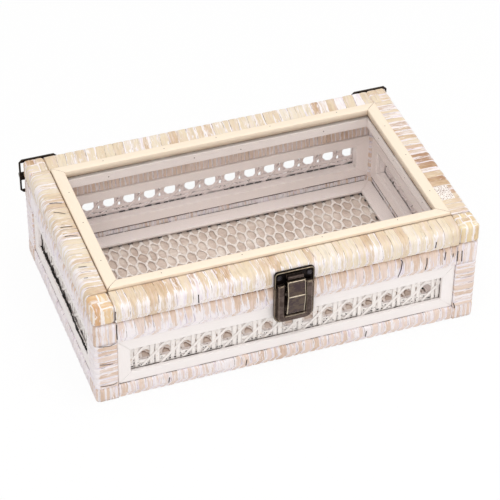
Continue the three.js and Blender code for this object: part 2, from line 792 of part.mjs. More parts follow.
// The tongue runs down behind the lever and ends in a barb, under the lever's lip.
function catchTongue() {
  const backFace = -boxDepth / 2 - latchFaceProud - seatGap;
  const frontFace = backFace - catchTongueThickness;
  const barbTop = leverCrest - leverLipThickness - seatGap;
  const tip = barbTop - catchBarbHeight;
  const high = catchHumpHigh - catchHumpEase;
  const section = outline([
    [frontFace, high], [frontFace, barbTop], [frontFace - catchBarbReach, barbTop],
    [frontFace, tip], [backFace, tip], [backFace, high]
  ]);
  return alongX(section, -catchTongueHalfWidth, catchTongueHalfWidth);
}

function addCatchPlate(group) {
  const low = lidLow + seatGap;
  const plate = latchSheet(outline(catchPlateOutline(0, low)), latchSeatProud, latchFaceProud);
  const rimOuter = latchSheet(outline(catchPlateOutline(0, low)), latchSeatProud, latchFaceProud + latchRimHeight);
  const rimInner = latchSheet(
    outline(catchPlateOutline(latchRimWidth, low - cutOverrun)), latchFaceProud, latchFaceProud + 2 * latchRimHeight
  );
  const holes = screwPlaces().map(at =>
    frontRound(screwShankRadius + pinClearance, at.x - latchCentreX, at.z, -cutOverrun, latchFaceProud + cutOverrun)
  );
  const body = joined(plate, cut(rimOuter, rimInner), catchHump(), catchTongue());
  addPiece(group, 'latch_catch_plate', cut(body, ...holes), 'bronze');
}

// The housing has a slot for the lever between two horns, which rise past the seam
// in front of the catch plate.
function housingShape() {
  const half = latchWidth / 2 - housingInset;
  const low = latchTop - latchDrop + housingInset;
  const high = latchTop + housingRise;
  const slotLow = low + housingWebWidth;
  const shape = new THREE.Shape();
  shape.moveTo(-half, high);
  shape.lineTo(-half, low + housingRadius);
  shape.absarc(-half + housingRadius, low + housingRadius, housingRadius, Math.PI, 1.5 * Math.PI);
  shape.lineTo(half - housingRadius, low);
  shape.absarc(half - housingRadius, low + housingRadius, housingRadius, 1.5 * Math.PI, 2 * Math.PI);
  shape.lineTo(half, high);
  shape.lineTo(leverSlotHalfWidth, high);
  shape.lineTo(leverSlotHalfWidth, slotLow);
  shape.lineTo(-leverSlotHalfWidth, slotLow);
  shape.lineTo(-leverSlotHalfWidth, high);
  return shape;
}

function addBasePlate(group) {
  const plate = latchSheet(outline(basePlateOutline(0, latchTop)), latchSeatProud, latchFaceProud);
  const rimOuter = latchSheet(outline(basePlateOutline(0, latchTop)), latchSeatProud, latchFaceProud + latchRimHeight);
  const rimInner = latchSheet(
    outline(basePlateOutline(latchRimWidth, latchTop + cutOverrun)), latchFaceProud, latchFaceProud + 2 * latchRimHeight
  );
  const housing = new THREE.ExtrudeGeometry(housingShape(), {
    depth: housingHeight, bevelEnabled: true, bevelThickness: housingBevel, bevelSize: housingBevel,
    bevelOffset: -housingBevel, bevelSegments: 1, curveSegments: 4
  });
  housing.rotateX(Math.PI / 2).translate(0, -boxDepth / 2 - latchFaceProud + housingBevel, 0);
  const behind = block(
    -latchWidth, latchWidth, -boxDepth / 2 - latchFaceProud, -boxDepth / 2 + cutOverrun, 0, baseHeight
  );
  const behindHorns = block(
    -latchWidth, latchWidth, -boxDepth / 2 - latchFaceProud - seatGap, -boxDepth / 2 + cutOverrun, latchTop, lidHigh
  );
  const pinHalf = leverSlotHalfWidth + leverPinBed;
  const bore = roundBarX(
    leverPinRadius + pinClearance, -pinHalf, pinHalf, -boxDepth / 2 - leverPinProud, leverPinZ
  );
  const body = joined(plate, cut(rimOuter, rimInner), cut(housing, behind, behindHorns));
  addPiece(group, 'latch_base_plate', cut(body, bore), 'bronze');
  const pinReach = pinHalf - seatGap;
  const pin = roundBarX(leverPinRadius, -pinReach, pinReach, -boxDepth / 2 - leverPinProud, leverPinZ);
  addPiece(group, 'latch_pin', pin, 'steel');
}

// The lever is a bent sheet: two facets that meet at a ridge over the pin, a lip at the top
// that reaches back over the catch, and two ears that turn on the pin.
function addLever(group) {
  const foot = latchTop - leverFootDrop;
  const face = -boxDepth / 2;
  const inside = leverThickness;
  const sheet = outline([
    [face - leverFootProud, foot],
    [face - leverFootProud + inside, foot],
    [face - leverRidgeProud + inside, leverPinZ],
    [face - leverTopProud + inside, leverCrest - leverLipThickness],
    [face - leverTopProud + leverLipReach, leverCrest - leverLipThickness],
    [face - leverTopProud + leverLipReach, leverCrest],
    [face - leverTopProud, leverCrest],
    [face - leverRidgeProud, leverPinZ]
  ]);
  const body = alongX(sheet, -leverHalfWidth, leverHalfWidth);
  const earFront = face - leverRidgeProud + inside / 2;
  const pinY = face - leverPinProud;
  const ear = new THREE.Shape();
  ear.moveTo(earFront, leverPinZ - 2 * leverEarRadius);
  ear.lineTo(pinY, leverPinZ - leverEarRadius);
  ear.absarc(pinY, leverPinZ, leverEarRadius, -Math.PI / 2, Math.PI / 2);
  ear.lineTo(earFront, leverPinZ + 2 * leverEarRadius);
  const earAt = x => {
    const plate = new THREE.ExtrudeGeometry(ear, { depth: leverEarThickness, bevelEnabled: false, curveSegments: 4 });
    return plate.applyMatrix4(sectionToX).translate(x, 0, 0);
  };
  const solid = joined(body, earAt(-leverHalfWidth), earAt(leverHalfWidth - leverEarThickness));
  const bore = roundBarX(
    leverPinRadius + pinClearance, -leverHalfWidth - cutOverrun, leverHalfWidth + cutOverrun, pinY, leverPinZ
  );
  addPiece(group, 'latch_lever', cut(solid, bore), 'bronze');
}

// The spring is one wire: a coil round the pin and two legs that run down behind the lever.
class SpringWire extends THREE.Curve {
  getPoint(share, target = new THREE.Vector3()) {
    const turnsAngle = springTurns * 2 * Math.PI;
    const coilLength = turnsAngle * springCoilRadius;
    const whole = coilLength + 2 * springLegDrop;
    const along = share * whole;
    const half = (springTurns * springPitch) / 2;
    if (along < springLegDrop) {
      return target.set(-half, -springCoilRadius, along - springLegDrop);
    }
    if (along > whole - springLegDrop) {
      return target.set(half, -springCoilRadius, whole - springLegDrop - along);
    }
    const angle = (along - springLegDrop) / springCoilRadius;
    const x = -half + (angle / turnsAngle) * 2 * half;
    return target.set(x, -springCoilRadius * Math.cos(angle), springCoilRadius * Math.sin(angle));
  }
}

function springLeastGap(curve, samples) {
  const points = Array.from({ length: samples + 1 }, (_, i) => curve.getPoint(i / samples));
  const coilLength = springTurns * 2 * Math.PI * springCoilRadius + 2 * springLegDrop;
  const apart = Math.ceil((Math.PI * springCoilRadius * samples) / coilLength);
  let least = Infinity;
  for (let i = 0; i <= samples; i += 1) {
    for (let j = i + apart; j <= samples; j += 1) {
      least = Math.min(least, points[i].distanceTo(points[j]));
    }
  }
  return least - 2 * springWireRadius;
}

function addSpring(group) {
  const curve = new SpringWire();
  const legSteps = 3;
  const coilSteps = springTurns * springStepsPerTurn;
  const whole = springTurns * 2 * Math.PI * springCoilRadius + 2 * springLegDrop;
  const legShare = springLegDrop / whole;
  const shares = [];
  for (let i = 0; i < legSteps; i += 1) {
    shares.push((legShare * i) / legSteps);
  }
  for (let i = 0; i <= coilSteps; i += 1) {
    shares.push(legShare + ((1 - 2 * legShare) * i) / coilSteps);
  }
  for (let i = 1; i <= legSteps; i += 1) {
    shares.push(1 - legShare + (legShare * i) / legSteps);
  }
  const wire = sweptWire(shares.map(share => curve.getPoint(share)));
  const spring = addPiece(group, 'latch_spring', wire, 'steel');
  spring.position.set(0, -boxDepth / 2 - leverPinProud, leverPinZ);
  console.log(`latch spring: least gap between turns ${springLeastGap(curve, 600).toFixed(2)} mm`);
}

// A wire of a few sides through a list of points, closed at both ends.
function sweptWire(points) {
  const rings = points.map((point, i) => {
    const before = points[Math.max(i - 1, 0)];
    const after = points[Math.min(i + 1, points.length - 1)];
    const forward = after.clone().sub(before).normalize();
    const acrossX = new THREE.Vector3(1, 0, 0);
    const side = acrossX.sub(forward.clone().multiplyScalar(acrossX.dot(forward))).normalize();
    const up = forward.clone().cross(side);
    return Array.from({ length: springWireSides }, (_, k) => {
      const angle = (k / springWireSides) * 2 * Math.PI;
      return point.clone()
        .addScaledVector(side, springWireRadius * Math.cos(angle))
        .addScaledVector(up, springWireRadius * Math.sin(angle));
    });
  });
  const positions = rings.flat().concat(points[0], points[points.length - 1]).flatMap(p => [p.x, p.y, p.z]);
  const index = [];
  const at = (ring, k) => ring * springWireSides + (k % springWireSides);
  const firstTip = rings.length * springWireSides;
  for (let k = 0; k < springWireSides; k += 1) {
    for (let ring = 0; ring < rings.length - 1; ring += 1) {
      index.push(at(ring, k), at(ring, k + 1), at(ring + 1, k + 1), at(ring, k), at(ring + 1, k + 1), at(ring + 1, k));
    }
    index.push(firstTip, at(0, k + 1), at(0, k));
    index.push(firstTip + 1, at(rings.length - 1, k), at(rings.length - 1, k + 1));
  }
  const geometry = new THREE.BufferGeometry();
  geometry.setAttribute('position', new THREE.Float32BufferAttribute(positions, 3));
  geometry.setIndex(index);
  return geometry;
}

function addCatchScrews(group) {
  screwPlaces().forEach(at => {
    const headFrom = latchFaceProud + seatGap / 2;
    const head = frontRound(screwHeadRadius, at.x, at.z, headFrom, headFrom + screwHeadHeight);
    const shank = frontRound(screwShankRadius, at.x, at.z, -screwShankLength, headFrom + screwHeadHeight / 2);
    addPiece(group, at.name, joined(head, shank), 'bronze');
  });
}

// Assembly

addPosts(box);
sides.forEach(addWall);
addFloor(box);
addLid(box);
addHinges(box);
const latch = new THREE.Group();
latch.position.x = latchCentreX;
addCatchPlate(latch);
addBasePlate(latch);
addLever(latch);
addSpring(latch);
box.add(latch);
addCatchScrews(box);

// The latch stands further out than the hinges, so the box sits a little back of the origin.
const hingeReach = seatGap + 2 * hingeKnuckleRadius;
box.position.y = (leverRidgeProud - hingeReach) / 2;

const part = new THREE.Group();
part.add(box);

export default part;
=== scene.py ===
"""The looks of a rattan display box with cane windows, a glazed lid and a bronze latch.

Local coordinates of a side: u runs along it, t inwards from its outer face, z up, all in millimetres.
"""

import math
import random
from itertools import product

import bmesh
import bpy
import numpy as np
from mathutils import Matrix, Vector


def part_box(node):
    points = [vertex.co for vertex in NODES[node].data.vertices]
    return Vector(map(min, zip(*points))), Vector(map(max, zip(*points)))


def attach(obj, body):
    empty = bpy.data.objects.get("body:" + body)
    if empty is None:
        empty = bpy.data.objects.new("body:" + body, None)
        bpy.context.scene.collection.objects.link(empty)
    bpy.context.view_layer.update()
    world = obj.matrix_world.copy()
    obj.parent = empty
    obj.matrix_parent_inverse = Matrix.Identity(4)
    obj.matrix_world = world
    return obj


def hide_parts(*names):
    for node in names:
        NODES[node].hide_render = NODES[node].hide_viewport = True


MM = 0.001
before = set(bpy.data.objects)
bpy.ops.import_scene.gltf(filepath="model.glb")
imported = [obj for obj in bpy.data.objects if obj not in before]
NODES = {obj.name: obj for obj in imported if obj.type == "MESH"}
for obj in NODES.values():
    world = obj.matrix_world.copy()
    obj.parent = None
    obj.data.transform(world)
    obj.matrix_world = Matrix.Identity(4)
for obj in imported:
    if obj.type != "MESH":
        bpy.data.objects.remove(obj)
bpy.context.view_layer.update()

low_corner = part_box("post_front_left")[0]
high_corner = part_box("post_back_right")[1]
CENTRE_Y = (low_corner.y + high_corner.y) / 2 / MM
LENGTH = (high_corner.x - low_corner.x) / MM
DEPTH = (high_corner.y - low_corner.y) / MM

POST = 17.5
BOTTOM_TOP = 12.5
TOP_LOW = 54.3
BASE_TOP = 73.3
LID_LOW = 73.6
LID_TOP = 89.6
BASE_RAIL = 14
LID_CORNER = 19.0
STILE = 9.8
PANEL = (12.8, 54.0)
OUTER_MOULDING = (1.8, 4.8)
INNER_BATTEN = (7.2, 12.0)
INNER_BOARD = (12.02, 15.0)
BEAD_GAP = 0.3
BEAD_LOW = 86.52
BEAD_TOP = 92.22
GLASS_REST = (75.0, 83.38)
FLOOR_STRIP = (6.22, 8.7)
FLOOR_STRIP_WIDTH = 12.5
FLOOR_STRIP_INSET = 14.3
FLOOR_STRIP_END = 14.5
INNER_BOARD_END = 15.3
CANE_DEPTH = 6.0
CANE_PITCH = 16.1
LATCH_X = 1.5

UPRIGHT, OUTWARDS, ALONG, INWARDS = (0, 0, 1), (0, -1, 0), (1, 0, 0), (0, 1, 0)


class Side:
    """A side of the box, drawn as the front and then turned into its place."""

    def __init__(self, name, turn, rail, bead, edge, window, holes):
        self.name = name
        self.turn = math.radians(turn)
        self.long = name in ("front", "back")
        self.span, self.reach = (LENGTH, DEPTH / 2) if self.long else (DEPTH, LENGTH / 2)
        self.rail, self.bead, self.edge = rail, bead, edge
        self.window, self.holes = window, holes
        self.panel = self.span / 2 - POST - 0.3

    def placed(self, points):
        """Points (u, t, z) in metres in the row frame."""
        u, t, z = np.asarray(points, float).T
        y = t - self.reach
        c, s = math.cos(self.turn), math.sin(self.turn)
        return np.stack([u * c - y * s, u * s + y * c + CENTRE_Y, z], 1) * MM

    def opening(self, gap):
        """The ends of the lid's opening along this side, moved in by gap."""
        return -self.before.reach + self.before.rail + gap, self.after.reach - self.after.rail - gap


SIDES = [
    Side("front", 0, 18.0, 8.0, 6.5, (21.6, 43.6), 31.9),
    Side("right", 90, 16.7, 9.0, 3.5, (23.5, 45.5), 34.5),
    Side("back", 180, 20.7, 8.0, 3.5, (23.5, 45.5), 36.0),
    Side("left", -90, 16.7, 9.0, 6.5, (23.5, 45.5), 34.5),
]
FRONT, RIGHT, BACK, LEFT = SIDES
for number, side in enumerate(SIDES):
    side.before, side.after = SIDES[number - 1], SIDES[(number + 1) % 4]


def in_metres(points):
    return points * MM


def add_object(name, data):
    made = bpy.data.objects.new(name, data)
    bpy.context.scene.collection.objects.link(made)
    return made


def add_mesh(name, points, faces, material, smooth=True, closed=True, **attributes):
    """A mesh object. attributes holds a vector for each point. A closed one has its faces turned outward."""
    mesh = bpy.data.meshes.new(name)
    mesh.from_pydata([tuple(p) for p in points], [], [tuple(f) for f in faces])
    for key, values in attributes.items():
        layer = mesh.attributes.new(key, "FLOAT_VECTOR", "POINT")
        layer.data.foreach_set("vector", np.asarray(values, np.float32).ravel())
    mesh.polygons.foreach_set("use_smooth", [smooth] * len(mesh.polygons))
    mesh.materials.append(material)
    if closed:
        turned = bmesh.new()
        turned.from_mesh(mesh)
        bmesh.ops.recalc_face_normals(turned, faces=turned.faces)
        turned.to_mesh(mesh)
        turned.free()
    return add_object(name, mesh)


def seat(obj, body, slot, *replaced):
    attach(obj, body)
    if replaced:
        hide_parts(*replaced)
    return obj


def tube_faces(rows, count, base=0):
    """Faces round rows of count points, each row joined to the next."""
    faces = []
    for j in range(rows - 1):
        low, high = base + j * count, base + (j + 1) * count
        for k in range(count):
            n = (k + 1) % count
            faces.append((low + k, low + n, high + n, high + k))
    return faces


def fan_faces(first, count, centre):
    return [(first + (k + 1) % count, first + k, centre) for k in range(count)]


# Materials


class Signal:
    """A value or vector of a node tree. Signals are added and multiplied like numbers."""

    def __init__(self, graph, socket):
        self.graph = graph
        self.socket = socket

    def __add__(self, other):
        return self.graph.math("ADD", self, other)

    def __sub__(self, other):
        return self.graph.math("SUBTRACT", self, other)

    def __rsub__(self, other):
        return self.graph.math("SUBTRACT", other, self)

    def __mul__(self, other):
        return self.graph.math("MULTIPLY", self, other)


class Graph:
    """The node tree of a material or of the world, built by short calls."""

    def __init__(self, name, world=False):
        self.owner = (bpy.data.worlds if world else bpy.data.materials).new(name)
        self.owner.use_nodes = True
        self.tree = self.owner.node_tree
        self.tree.nodes.clear()
        self.output = self.tree.nodes.new("ShaderNodeOutputWorld" if world else "ShaderNodeOutputMaterial")

    def node(self, kind, inputs=None, output=0, **settings):
        """Adds a node and gives one of its outputs."""
        made = self.tree.nodes.new("ShaderNode" + kind)
        for key, value in settings.items():
            setattr(made, key, value)
        for key, value in (inputs or {}).items():
            if isinstance(value, Signal):
                self.tree.links.new(value.socket, made.inputs[key])
            else:
                made.inputs[key].default_value = value
        return Signal(self, made.outputs[output])

    def attribute(self, name):
        return self.node("Attribute", output="Vector", attribute_name=name)

    def split(self, vector):
        parts = self.node("SeparateXYZ", {0: vector}).socket.node.outputs
        return [Signal(self, part) for part in parts]

    def join(self, x, y, z):
        return self.node("CombineXYZ", {0: x, 1: y, 2: z})

    def math(self, operation, a, b=0.0, clamp=False):
        return self.node("Math", {0: a, 1: b}, operation=operation, use_clamp=clamp)

    def clamped(self, value):
        return self.math("ADD", value, 0.0, clamp=True)

    def scaled(self, vector, x, y, z):
        return self.node("VectorMath", {0: vector, 1: (x, y, z)}, operation="MULTIPLY")

    def noise(self, vector, scale, detail=3.0, rough=0.55):
        inputs = {"Vector": vector, "Scale": scale, "Detail": detail, "Roughness": rough}
        return self.node("TexNoise", inputs, "Fac")

    def place(self):
        """The point's place in the row frame, in millimetres."""
        return self.scaled(self.node("TexCoord", output="Object"), 1000, 1000, 1000)

    def ramp(self, value, low, high):
        """0 at low, 1 at high and smooth between."""
        inputs = {"Value": value, "From Min": low, "From Max": high}
        return self.node("MapRange", inputs, interpolation_type="SMOOTHSTEP")

    def colours(self, value, stops):
        made = self.node("ValToRGB", {0: value})
        elements = made.socket.node.color_ramp.elements
        while len(elements) < len(stops):
            elements.new(0.5)
        for element, (place, colour) in zip(elements, stops):
            element.position = place
            element.color = rgb(*colour)
        return made

    def mix(self, share, a, b, blend="MIX"):
        return self.node("Mix", {0: share, 6: a, 7: b}, 2, data_type="RGBA", blend_type=blend)

    def shaded(self, colour, shade):
        """The colour, made darker by a grey shade."""
        grey = self.node("CombineColor", {0: shade, 1: shade, 2: shade})
        return self.mix(1.0, colour, grey, "MULTIPLY")

    def bump(self, height, distance, strength=1.0, normal=None):
        inputs = {"Height": height, "Distance": distance * MM, "Strength": strength}
        if normal is not None:
            inputs["Normal"] = normal
        return self.node("Bump", inputs)

    def blend(self, share, first, second):
        return self.node("MixShader", {0: share, 1: first, 2: second})

    def finish(self, shader):
        self.tree.links.new(shader.socket, self.output.inputs[0])
        return self.owner

    def principled(self, **inputs):
        names = {key.replace("_", " "): value for key, value in inputs.items()}
        return self.finish(self.node("BsdfPrincipled", names))


def rgb(r, g, b):
    """A colour given in screen values from 0 to 255, as the linear values that shaders use."""
    def linear(v):
        v /= 255
        return v / 12.92 if v <= 0.04045 else ((v + 0.055) / 1.055) ** 2.4
    return (linear(r), linear(g), linear(b), 1.0)


def peel_material(name, tones, tints, wash_colour, groove_colour, level, edge_paint,
                  edge_range=(-0.6, 0.0), net=None):
    """Rattan peel. Attribute peel holds millimetres across and along a strip and the strip's seed,
    and attribute strip its random tone, the nearness to its middle and its share of white wash.
    net holds two corners of a patch that has a net of white lines over dark dots."""
    g = Graph(name)
    across, along, seed = g.split(g.attribute("peel"))
    tone, middle, wash = g.split(g.attribute("strip"))
    wave = g.noise(g.join(0.0, along * 0.2, seed), 1.0, 2)
    bent = (wave - 0.5) * 2.4 + across

    def streaks(across_scale, along_scale, shift, detail=4, rough=0.55):
        vector = g.join(bent * across_scale, along * along_scale, seed + shift)
        return g.noise(vector, 1.0, detail, rough)

    fine = streaks(2.6, 0.06, 0.0)
    broad = streaks(0.85, 0.08, 40.0, 4, 0.65)
    hue = streaks(0.8, 0.05, 71.0, 3)
    cloud = streaks(0.2, 0.13, 0.0, 2)
    place = g.place()
    zone = g.noise(place, 0.014, 1)
    value = g.clamped(tone * 0.42 + cloud * 0.3 + (broad - 0.5) * 0.45 + (zone - 0.4) * 0.7)
    colour = g.mix(g.ramp(hue, 0.48, 0.64) * 0.75, g.colours(value, tones), g.colours(value, tints))
    for line in (g.ramp(fine, 0.32, 0.46), g.ramp(streaks(0.75, 0.05, 63.0, 2), 0.36, 0.43)):
        colour = g.shaded(colour, line * 0.1 + 0.9)

    edge = g.ramp(middle, 0.5, 0.1) * g.ramp(broad, 0.3, 0.5) * g.ramp(wash, *edge_range)
    cover = fine * 0.45 + broad * 0.55 + edge * edge_paint + wash * 0.24
    painted = g.clamped(g.ramp(cover, level - 0.03, level + 0.13) * (cloud * 0.5 + 0.62))
    strokes = g.ramp(streaks(0.62, 0.11, 51.0, 2), 0.6, 0.68) * g.ramp(wash + cloud * 0.6, 0.2, 0.9)
    painted = g.math("MAXIMUM", painted, strokes * 0.8)
    violet = [v - k for v, k in zip(wash_colour, (14, 18, 8))]
    paint = g.mix(g.ramp(streaks(0.5, 0.05, 23.0, 2), 0.5, 0.66), rgb(*wash_colour), rgb(*violet))
    colour = g.mix(painted, colour, paint)

    patchy = g.ramp(streaks(0.12, 0.1, 17.0, 2), 0.53, 0.62)
    groove = g.ramp(middle, 0.12, 0.0) * (patchy * 0.85 + 0.06)
    colour = g.mix(groove, colour, rgb(*groove_colour))
    if net:
        inside = 1.0
        for value, low, high in zip(g.split(place), *net):
            inside = g.ramp(value, low - 0.6, low + 0.6) * g.ramp(value, high + 0.6, high - 0.6) * inside
        cells = g.node("TexVoronoi", {"Vector": place, "Scale": 0.62}, "Distance", feature="DISTANCE_TO_EDGE")
        lines = g.mix(g.ramp(cells, 0.1, 0.3), rgb(250, 244, 240), rgb(150, 122, 104))
        colour = g.mix(inside * 0.9, colour, lines)
    bump = g.bump(fine * 0.6 + painted * 0.4, 0.22, 0.8)
    return g.principled(Base_Color=colour, Roughness=painted * 0.2 + 0.5, Normal=bump)


def painted_wood(name, paint, bare, wear, rough=0.55):
    """Limewashed or painted wood. The grain is stretched along the piece by attribute grain."""
    g = Graph(name)
    vector = g.attribute("grain")
    long = g.noise(g.scaled(vector, 0.03, 0.6, 0.6), 1.0, 5, 0.6)
    fine = g.noise(g.scaled(vector, 0.09, 1.8, 1.8), 1.0, 3, 0.6)
    cloud = g.noise(g.scaled(vector, 0.025, 0.06, 0.06), 1.0, 2)
    worn = g.ramp(long + (cloud - 0.5) * 0.6, 0.66 - wear, 0.9 - wear)
    colour = g.shaded(g.mix(worn * 0.75, rgb(*paint), rgb(*bare)), fine * 0.1 + 0.95)
    bump = g.bump(long + fine * 0.5, 0.12, 0.5)
    return g.principled(Base_Color=colour, Roughness=fine * 0.15 + (rough - 0.07), Normal=bump)


def strand_material(name, paint, bare, wear):
    """A cane strand. Attribute peel holds millimetres across and along and the strand's seed."""
    g = Graph(name)
    across, along, seed = g.split(g.attribute("peel"))
    fibre = g.noise(g.join(across * 2.6, along * 0.25, seed), 1.0, 3)
    patch = g.noise(g.join(across * 0.5, along * 0.3, seed), 1.0, 4, 0.65)
    worn = g.ramp(patch, 0.62 - wear, 0.76 - wear) * 0.85
    colour = g.shaded(g.mix(worn, rgb(*paint), rgb(*bare)), fibre * 0.16 + 0.92)
    return g.principled(Base_Color=colour, Roughness=0.62, Normal=g.bump(fibre, 0.15, 0.6))


def bronze_material(name, dark, bright, shine, patina=None, soft=0.45):
    """Antique bronze: nearly black in the hollows and patchy with patina. Its bevelled edges and its
    scratches are mixed bright, for wear and as painted highlight; soft is the width of the bright edge in
    millimetres."""
    g = Graph(name)
    place = g.place()
    grime = g.noise(place, 0.35, 4, 0.6)
    scratch = g.noise(g.scaled(place, 0.5, 3.0, 3.0), 1.0, 3, 0.7)
    sharp = g.node("Bevel", {"Radius": soft * MM}, samples=6)
    flat = g.node("NewGeometry", output="Normal")
    turn = g.node("VectorMath", {0: sharp, 1: flat}, "Value", operation="DOT_PRODUCT")
    edge = g.ramp(turn, 0.995, 0.93) * g.ramp(grime, 0.3, 0.6)
    # Painted highlight with wear: the bevelled edges and scratches are mixed towards the bright colour.
    worn_and_highlit = g.clamped(edge * 0.8 + g.ramp(scratch, 0.58, 0.8) * shine)
    patches = g.ramp(g.noise(g.scaled(place, 0.22, 0.3, 0.3), 1.0, 4, 0.65), 0.4, 0.6)
    patina = patina or [v * 1.2 for v in dark]
    colour = g.mix(worn_and_highlit, g.mix(patches, rgb(*dark), rgb(*patina)), rgb(*bright))
    bump = g.bump(scratch + grime, 0.05, 0.5, sharp)
    return g.principled(Base_Color=colour, Metallic=0.9, Roughness=grime * 0.25 + 0.2, Normal=bump)


def steel_material():
    g = Graph("drawn_steel")
    drawn = g.noise(g.scaled(g.place(), 0.4, 6.0, 6.0), 1.0, 3)
    colour = g.colours(drawn, [(0.2, (88, 82, 76)), (0.8, (140, 132, 122))])
    return g.principled(Base_Color=colour, Metallic=0.95, Roughness=drawn * 0.2 + 0.28)


def glass_material():
    """Thin clear glass that lets shadows through and mirrors a little at a slant."""
    g = Graph("clear_glass")
    ripple = g.bump(g.noise(g.place(), 0.02, 1), 0.05, 0.2)
    clear = g.node("BsdfTransparent", {"Color": (0.99, 0.994, 0.992, 1)})
    mirror = g.node("BsdfGlossy", {"Color": (1, 1, 1, 1), "Roughness": 0.03, "Normal": ripple})
    slant = g.node("Fresnel", {"IOR": 1.45, "Normal": ripple})
    outer = 1.0 - g.node("NewGeometry", output="Backfacing")
    return g.finish(g.blend(slant * outer * 0.5, clear, mirror))


def board_material():
    g = Graph("floor_board")
    place = g.place()
    grain = g.noise(g.scaled(place, 0.02, 0.5, 0.5), 1.0, 5)
    cloud = g.noise(place, 0.05, 3)
    cell = g.noise(g.scaled(place, 0.1, 0.07, 0.1), 1.0, 2)
    value = grain * 0.3 + (cell * 0.5 + cloud * 0.2)
    colour = g.colours(value, [(0.36, (198, 176, 162)), (0.5, (222, 204, 192)), (0.64, (242, 230, 220))])
    return g.principled(Base_Color=colour, Roughness=0.75, Normal=g.bump(grain, 0.1, 0.5))


def nail_material():
    g = Graph("nail")
    rust = g.noise(g.place(), 1.4, 2)
    colour = g.colours(rust, [(0.3, (70, 52, 40)), (0.7, (132, 104, 80))])
    return g.principled(Base_Color=colour, Metallic=0.6, Roughness=0.5)


def crevice_material(name, stops):
    g = Graph(name)
    tone = g.noise(g.place(), 0.5, 3)
    return g.principled(Base_Color=g.colours(tone, stops), Roughness=0.9, Normal=g.bump(tone, 0.1, 0.3))


def tones(places, *colours):
    return list(zip(places, colours))


LID_PLACES = (0.02, 0.2, 0.4, 0.6, 0.85)
CORNER_PLACES = (0.05, 0.3, 0.5, 0.7, 0.9)
BASE_PLACES = (0.0, 0.1, 0.27, 0.48, 0.68, 0.88)
LID_TONES = tones(
    LID_PLACES, (174, 134, 100), (206, 176, 142), (224, 203, 174), (230, 214, 187), (235, 223, 204),
)
LID_TINTS = tones(
    LID_PLACES, (180, 142, 120), (214, 184, 166), (226, 206, 194), (232, 216, 208), (238, 228, 222),
)
CORNER_TONES = tones(
    CORNER_PLACES, (190, 140, 96), (216, 172, 128), (230, 198, 154), (234, 208, 168), (238, 220, 192),
)
GOLD_TONES = tones(
    CORNER_PLACES, (196, 160, 118), (222, 196, 152), (236, 218, 178), (238, 226, 196), (242, 233, 216),
)
# The darkest stop of BASE_TONES and BASE_TINTS is reached chiefly by the painted shade under the lid's edge.
BASE_TONES = tones(
    BASE_PLACES,
    (130, 102, 82), (196, 164, 140), (219, 192, 171), (230, 208, 192), (231, 212, 202), (235, 213, 196),
)
BASE_TINTS = tones(
    BASE_PLACES,
    (132, 106, 92), (198, 170, 154), (219, 195, 184), (231, 210, 204), (232, 216, 214), (234, 222, 222),
)
WORN_PATCH = ((135.6, -57.0, 88.0), (147.0, -39.0, 91.0))

lid_peel = peel_material(
    "lid_peel", LID_TONES, LID_TINTS, (248, 242, 243), (112, 84, 66), 0.71, 0.3, (0.25, 0.8), WORN_PATCH,
)
corner_peel = peel_material(
    "corner_peel", CORNER_TONES, LID_TINTS, (252, 247, 243), (240, 228, 216), 0.72, 0.5,
)
gold_corner_peel = peel_material(
    "gold_corner_peel", GOLD_TONES, LID_TINTS, (252, 247, 246), (240, 230, 224), 0.71, 0.5,
)
soft_corner_peel = peel_material(
    "soft_corner_peel", LID_TONES, LID_TINTS, (248, 240, 240), (150, 122, 100), 0.74, 0.22,
)
base_peel = peel_material(
    "base_peel", BASE_TONES, BASE_TINTS, (244, 239, 242), (100, 80, 70), 0.7, 0.37,
)
moulding_paint = painted_wood("limewashed_moulding", (243, 237, 235), (222, 206, 192), 0.0)
inner_paint = painted_wood("limewashed_inside", (250, 240, 237), (228, 210, 202), 0.02)
bead_paint = painted_wood("cream_bead", (243, 227, 206), (228, 206, 176), 0.02, 0.5)
cane_paint = strand_material("cane_strand", (244, 238, 234), (214, 190, 164), 0.02)
inside_cane_paint = strand_material("inside_cane_strand", (246, 234, 232), (216, 192, 180), 0.02)
floor_cane_paint = strand_material("floor_cane_strand", (250, 241, 235), (206, 190, 180), 0.08)
bronze = bronze_material("antique_bronze", (76, 63, 58), (168, 148, 128), 0.22, (104, 90, 84))
dark_bronze = bronze_material("dark_bronze", (22, 16, 17), (108, 92, 76), 0.12, (36, 28, 26))
# The screws' high shine mixes in bright specks: painted highlights.
screw_bronze = bronze_material("screw_bronze", (38, 35, 40), (176, 172, 172), 0.8, (70, 66, 70))
hinge_bronze = bronze_material("hinge_bronze", (34, 28, 26), (108, 92, 76), 0.1)
lever_bronze = bronze_material("lever_bronze", (76, 63, 64), (146, 126, 98), 0.5, (98, 84, 74), 1.2)
# Bright edge materials of the latch: wear and painted highlight.
brass_edge = bronze_material("worn_and_highlit_edge", (150, 132, 106), (212, 196, 168), 0.6)
lever_edge = bronze_material("lever_edge", (206, 190, 164), (236, 222, 200), 0.8)
rim_edge = bronze_material("rim_edge", (150, 132, 108), (222, 206, 178), 0.7)
steel = steel_material()
glass = glass_material()
board = board_material()
nail_metal = nail_material()
# Crevice lines: painted shade in the crevices where the pieces meet, with old waxy dirt.
crevice_shade_and_wax = crevice_material("crevice", [(0.3, (46, 34, 28)), (0.6, (96, 78, 66)), (0.75, (150, 130, 116))])
slit = crevice_material("slit", [(0.3, (34, 26, 24)), (0.6, (66, 54, 50)), (0.75, (96, 84, 78))])
